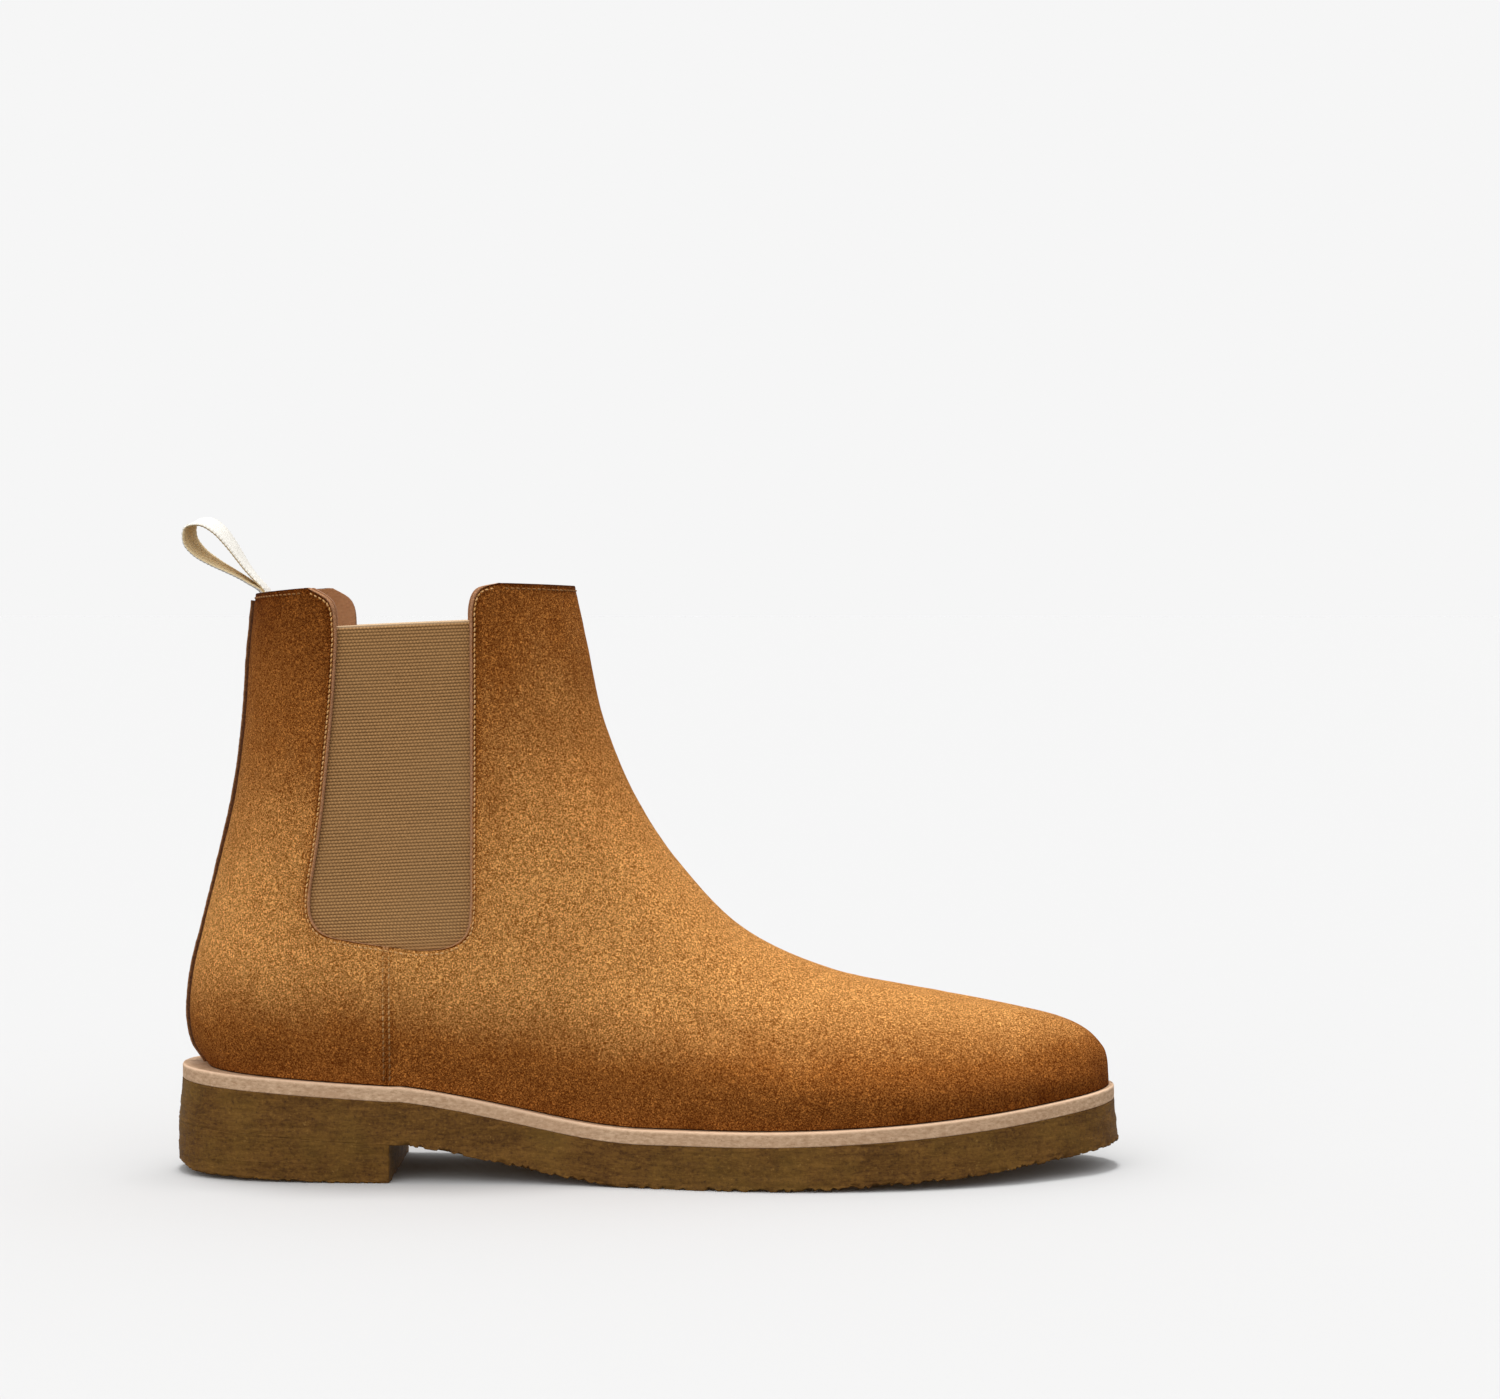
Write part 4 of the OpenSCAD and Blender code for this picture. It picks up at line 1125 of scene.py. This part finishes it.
def slab(name, node, levels, material, columns=16, flat_start=False, flat_end=False,
         attributes=None, ragged=None):
    """A solid from level outlines, each (x, lateral y, medial y, z over the grid), top first.

    The first and the last level are closed with a grid of columns across.
    """
    n = len(levels[0][0]) - 1
    j = np.linspace(0, 1, columns + 1)
    grids = []
    for x, lat, med, z in levels:
        y = mix(lat[:, None], med[:, None], j)
        gx = np.broadcast_to(x[:, None], y.shape)
        grids.append(np.stack([gx, y, z(gx, j)], -1))
    loop = [(i, 0) for i in range(n + 1)]
    if flat_end:
        loop += [(n, k) for k in range(1, columns)]
    loop += [(i, columns) for i in range(n if flat_end else n - 1, 0 if not flat_start else -1, -1)]
    if flat_start:
        loop += [(0, k) for k in range(columns - 1, 0, -1)]
    li, lj = np.array(loop).T
    rings = np.stack([g[li, lj] for g in grids])
    flat = unit(np.roll(rings[..., :2], -1, 1) - np.roll(rings[..., :2], 1, 1))
    out = np.stack([flat[..., 1], -flat[..., 0], 0 * flat[..., 0]], -1)
    centre = rings.mean(1, keepdims=True)
    if ((rings - centre)[..., :2] * out[..., :2]).sum() < 0:
        out = -out
    if ragged:
        rings = ragged(rings, out)
    m = len(loop)
    index = np.arange(len(levels) * m).reshape(len(levels), m)
    faces = [tube_faces(index)]
    verts = [rings.reshape(-1, 3)]
    base = index.size
    for level, grid in ((0, grids[0]), (len(levels) - 1, grids[-1])):
        ids = -np.ones((n + 1, columns + 1), int)
        ids[li, lj] = index[level]
        if not flat_end:
            ids[n, :] = index[level][n]
        if not flat_start:
            ids[0, :] = index[level][0]
        free = ids < 0
        ids[free] = base + np.arange(free.sum())
        verts.append(grid[free])
        base += len(verts[-1])
        cap = faces_from(ids[:-1, :-1], ids[1:, :-1], ids[1:, 1:], ids[:-1, 1:])
        for f in cap[:, ::-1] if level == 0 else cap:
            corners = list(dict.fromkeys(f.tolist()))
            if len(corners) > 2:
                faces.append(np.array([corners]))
    verts = np.concatenate(verts)
    values = {k: f(verts) for k, f in (attributes or {}).items()}
    return new_piece(name, verts, faces, material, "boot", (node,), values)


def edge_levels(outline_of, top, bottom, count, radius_top, radius_bottom, flare=0.0, lead=0.0):
    """Levels of a slab whose sides run from top(x) to bottom(x) with rounded edges."""
    f = np.unique(np.concatenate([np.linspace(0, 1, count), [0.02, 0.05, 0.95, 0.98]]))
    levels = []
    for k in f:
        x, lat, med = outline_of(0)
        thick = float(np.max(top(x) - bottom(x)))
        inset = (rounded(k * thick, radius_top) + rounded((1 - k) * thick, radius_bottom)
                 + flare * (1 - k) + lead)
        x, lat, med = outline_of(inset)
        levels.append((x, lat, med, lambda gx, j, k=k: mix(top(gx), bottom(gx), k)))
    return levels


def crepe_edge(top, bottom, ragged_amount, ragged_from=-99.0):
    """Thin rolled layers on the side of a crepe slab, and a crumbled lower edge."""

    def work(rings, out):
        p = rings.copy()
        x = p[..., 0]
        f = np.clip((top(x) - p[..., 2]) / np.maximum(top(x) - bottom(x), 0.1), 0, 1)
        move = (0.11 * noise(p, 1, (16, 16, 0.45)) + 0.15 * noise_b(p, 1, (24, 24, 1.7))
                + 0.11 * noise(p, 2.4))
        low = ragged_amount * smooth(p[..., 0], ragged_from, ragged_from + 5)
        floor = p * [1, 1, 0]
        chips = noise_b(p, 1.2, (1, 1, 1.5)) + 0.7 * noise(p, 2.9)
        move = move - low * smooth(f, 0.86, 1.0) * np.maximum(chips, -0.2) * 0.8
        teeth = np.maximum(noise(floor + 5, 0.8) + 0.5 * noise_b(floor, 2.4) + 0.05, 0) ** 0.8
        p = p + out * move[..., None]
        p[..., 2] += 1.35 * low * smooth(f, 0.88, 1.0) * teeth
        return p

    return work


def outsole_top(x):
    return underside(x) + OUTSOLE_T


heel_line = lambda x: mix(HEEL_BACK_H, HEEL_FRONT_H, x / HEEL_LENGTH)
flat_joint = lambda x: 0 * x + TOP_PIECE_T


def heel_bottom(x):
    """Underside of the heel, bevelled a little towards the back."""
    return HEEL_BEVEL * (1 - smooth(x, 0, 62)) + CORNER_BEVEL * (1 - smooth(x, 0, 9))


STEPS = 560
slab("outsole_crepe", "outsole",
     edge_levels(lambda i: sole_outline(i, steps=STEPS), outsole_top, underside, 32, 0.2, 0.03,
                 SOLE_FLARE),
     CREPE, 24, ragged=crepe_edge(outsole_top, underside, 1.0, HEEL_LENGTH - 1))
slab("heel_lift_crepe", "heel_lift",
     edge_levels(lambda i: sole_outline(i, 0, HEEL_LENGTH, steps=150), heel_line, flat_joint, 22,
                 0.03, 0.03),
     CREPE, 40, flat_end=True, ragged=crepe_edge(heel_line, flat_joint, 0.0))
slab("heel_top_piece_crepe", "heel_top_piece",
     edge_levels(lambda i: sole_outline(i, 0, HEEL_LENGTH, steps=220), flat_joint, heel_bottom, 18,
                 0.03, 0.3),
     CREPE, 40, flat_end=True, ragged=crepe_edge(flat_joint, heel_bottom, 0.55))


def inside_by(x, y, x0, x1, inset):
    """How far points lie inside an outline of the sole, in mm."""
    return np.minimum(half_width(LATERAL, x, x0, x1, inset) + y,
                      half_width(MEDIAL, x, x0, x1, inset) - y)


def crease_shade_of(verts):
    """Painted shade: a dark line where the midsole's top runs under the upper."""
    x, y, z = verts.T
    return smooth(inside_by(x, y, BACK_X[0], FRONT_X[0], WELT), -0.9, 0.3) * (z > feather(x) - 0.6)


def top_edge_highlight_of(verts):
    """Painted highlight: a pale band along the rounded top corner of the midsole's edge."""
    x, y, z = verts.T
    inside = inside_by(x, y, SOLE_FLARE, DRAWN_LENGTH - SOLE_FLARE, SOLE_FLARE)
    return 0.8 * hump(inside, 0.5, 0.7) * smooth(z - feather(x), -1.2, -0.2)


def midsole_edge(rings, out):
    p = rings.copy()
    move = 0.07 * noise(p, 7) + 0.05 * noise_b(p, 1.3, (2, 2, 0.5))
    return p + out * move[..., None]


slab("midsole_leather", "midsole",
     edge_levels(lambda i: sole_outline(i, steps=STEPS), feather, outsole_top, 14, 0.85, 0.3,
                 lead=SOLE_FLARE),
     MIDSOLE, 60, attributes={"crease_shade": crease_shade_of, "rim": top_edge_highlight_of}, ragged=midsole_edge)


def inner_outline(distance, from_x=0.0, to_x=DRAWN_LENGTH, steps=140):
    return outline(BACK_X[0] + distance, FRONT_X[0] - distance, WELT + distance, from_x, to_x,
                   steps)


def above(height):
    return lambda x: feather(x) + height


def pad_rise(x):
    return PAD_T * (1 - smooth(x, 58, 88))


slab("insole_board_fibre", "insole_board",
     edge_levels(lambda i: inner_outline(BOARD_INSET + i), above(BOARD_Z + BOARD_T),
                 above(BOARD_Z), 6, 0.4, 0.4),
     FIBRE, 24)
slab("cork_filler", "bottom_filler",
     edge_levels(lambda i: inner_outline(FILLER_INSET + i, 158, 270, 60),
                 above(BOTTOM_Z + FILLER_T), above(BOTTOM_Z), 5, 0.3, 0.3),
     CORK, 24, flat_start=True, flat_end=True)


def shank_outline(inset):
    x = np.linspace(SHANK_FROM + inset, SHANK_TO - inset, 60)
    to_end = SHANK_HALF - np.minimum(np.minimum(x - SHANK_FROM, SHANK_TO - x), SHANK_HALF)
    turn = SHANK_HALF - np.sqrt(np.maximum(SHANK_HALF ** 2 - to_end ** 2, 0))
    half = SHANK_HALF - inset - 0.75 * turn
    return x, -half, half


shank_levels = []
for k in np.linspace(0, 1, 6):
    x, lat, med = shank_outline(rounded(k * SHANK_T, 0.2) + rounded((1 - k) * SHANK_T, 0.2))
    shank_levels.append((x, lat, med, lambda gx, j, k=k: (
        above(BOTTOM_Z + SHANK_T * (1 - k))(gx)
        + 0.35 * hump(j, 0.5, 0.10) * smooth(gx, 66, 74) * (1 - smooth(gx, 138, 146)))))
slab("steel_shank", "shank", shank_levels, STEEL, 24, flat_start=True, flat_end=True)

pad = slab("heel_pad_foam", "heel_pad",
           edge_levels(lambda i: inner_outline(PAD_INSET + i, 0, 80, 90),
                       lambda x: feather(x) + SOCK_Z + pad_rise(x), above(SOCK_Z), 8, 0.3, 0.2),
           FOAM, 24, flat_end=True)


def liner_top(x):
    return feather(x) + SOCK_Z + pad_rise(x) + 0.25 + SOCK_T


def liner_edge(rings, out):
    return rings + out * (0.05 * noise(rings, 6))[..., None]


liner = slab("sock_liner_leather", "sock_liner",
             edge_levels(lambda i: inner_outline(SOCK_INSET + i), liner_top,
                         lambda x: liner_top(x) - SOCK_T, 6, 0.4, 0.2),
             LINING, 40, ragged=liner_edge, attributes={"cut": lambda v: 0 * v[:, 0]})


# ---- floor, light and camera ----

def stage_floor():
    size = FLOOR_SIZE
    mesh = bpy.data.meshes.new("studio_floor")
    mesh.from_pydata([(-size, -size, FLOOR_Z), (size, -size, FLOOR_Z), (size, size, FLOOR_Z),
                      (-size, size, FLOOR_Z)], [], [(0, 1, 2, 3)])
    floor = scene_object("studio_floor", mesh)
    g = Graph("pale_floor", Specular_IOR_Level=0.0)
    floor.data.materials.append(g.done((FLOOR_SHADE, FLOOR_SHADE, FLOOR_SHADE), 1.0))
    floor.visible_diffuse = False


BACKDROP = 0.922
SKY_TOP = 1.0
SKY_SIDE = 0.66
SKY_BELOW = 0.14
FLOOR_SHADE = 0.60
FLOOR_SIZE = 30.0


def studio_world():
    """A soft sky for the light, and a plain pale backdrop for the camera."""
    world = bpy.data.worlds.new("studio")
    world.use_nodes = True
    tree = world.node_tree
    tree.nodes.clear()
    out, seen, light, both, where, parts, ramp, lift, ray = (
        tree.nodes.new("ShaderNode" + kind) for kind in (
            "OutputWorld", "Background", "Background", "MixShader", "TexCoord", "SeparateXYZ",
            "ValToRGB", "Math", "LightPath"))
    seen.inputs[0].default_value = (BACKDROP, BACKDROP, BACKDROP, 1)
    stops = ramp.color_ramp.elements
    stops[0].position, stops[0].color = 0.24, (SKY_BELOW, SKY_BELOW, SKY_BELOW, 1)
    stops[1].position, stops[1].color = 1.0, (SKY_TOP, SKY_TOP, SKY_TOP, 1)
    stops.new(0.47).color = (SKY_SIDE, SKY_SIDE, SKY_SIDE, 1)
    lift.operation = "MULTIPLY_ADD"
    lift.inputs[1].default_value = 0.5
    lift.inputs[2].default_value = 0.5
    for source, target in ((where.outputs["Generated"], parts.inputs[0]),
                           (parts.outputs[2], lift.inputs[0]), (lift.outputs[0], ramp.inputs[0]),
                           (ramp.outputs[0], light.inputs[0]),
                           (ray.outputs["Is Camera Ray"], both.inputs[0]),
                           (light.outputs[0], both.inputs[1]), (seen.outputs[0], both.inputs[2]),
                           (both.outputs[0], out.inputs[0])):
        tree.links.new(source, target)
    bpy.context.scene.world = world


def sun(name, strength, turn, tilt, softness):
    data = bpy.data.lights.new(name, "SUN")
    data.energy = strength
    data.angle = math.radians(softness)
    scene_object(name, data).rotation_euler = (math.radians(tilt), 0, math.radians(turn))


stage_floor()
studio_world()
sun("overhead_softbox", 1.6, 0, -7, 13)
sun("front_fill", 0.85, -20, 58, 60)
bpy.context.scene.view_settings.view_transform = "Standard"

# The camera is level with the boot's topline and looks across it from the lateral side
AIM_FORWARD = 0.032
AIM_SIDE = 0.0025
AIM_HEIGHT = 0.1492
VIEW_DISTANCE = 1.2
VIEW_PITCH = math.radians(1.6)
LENS_MM = 90.45
camera_data = bpy.data.cameras.new("view")
camera_data.lens = LENS_MM
camera_data.sensor_width = 36
camera = scene_object("view", camera_data)
aim_x = (SOLE_LO.x + SOLE_HI.x) / 2 + AIM_FORWARD
camera.location = (aim_x, MIDDLE + AIM_SIDE - VIEW_DISTANCE * math.cos(VIEW_PITCH),
                   FLOOR_Z + AIM_HEIGHT + VIEW_DISTANCE * math.sin(VIEW_PITCH))
camera.rotation_euler = (math.pi / 2 - VIEW_PITCH, 0, 0)
bpy.context.scene.camera = camera
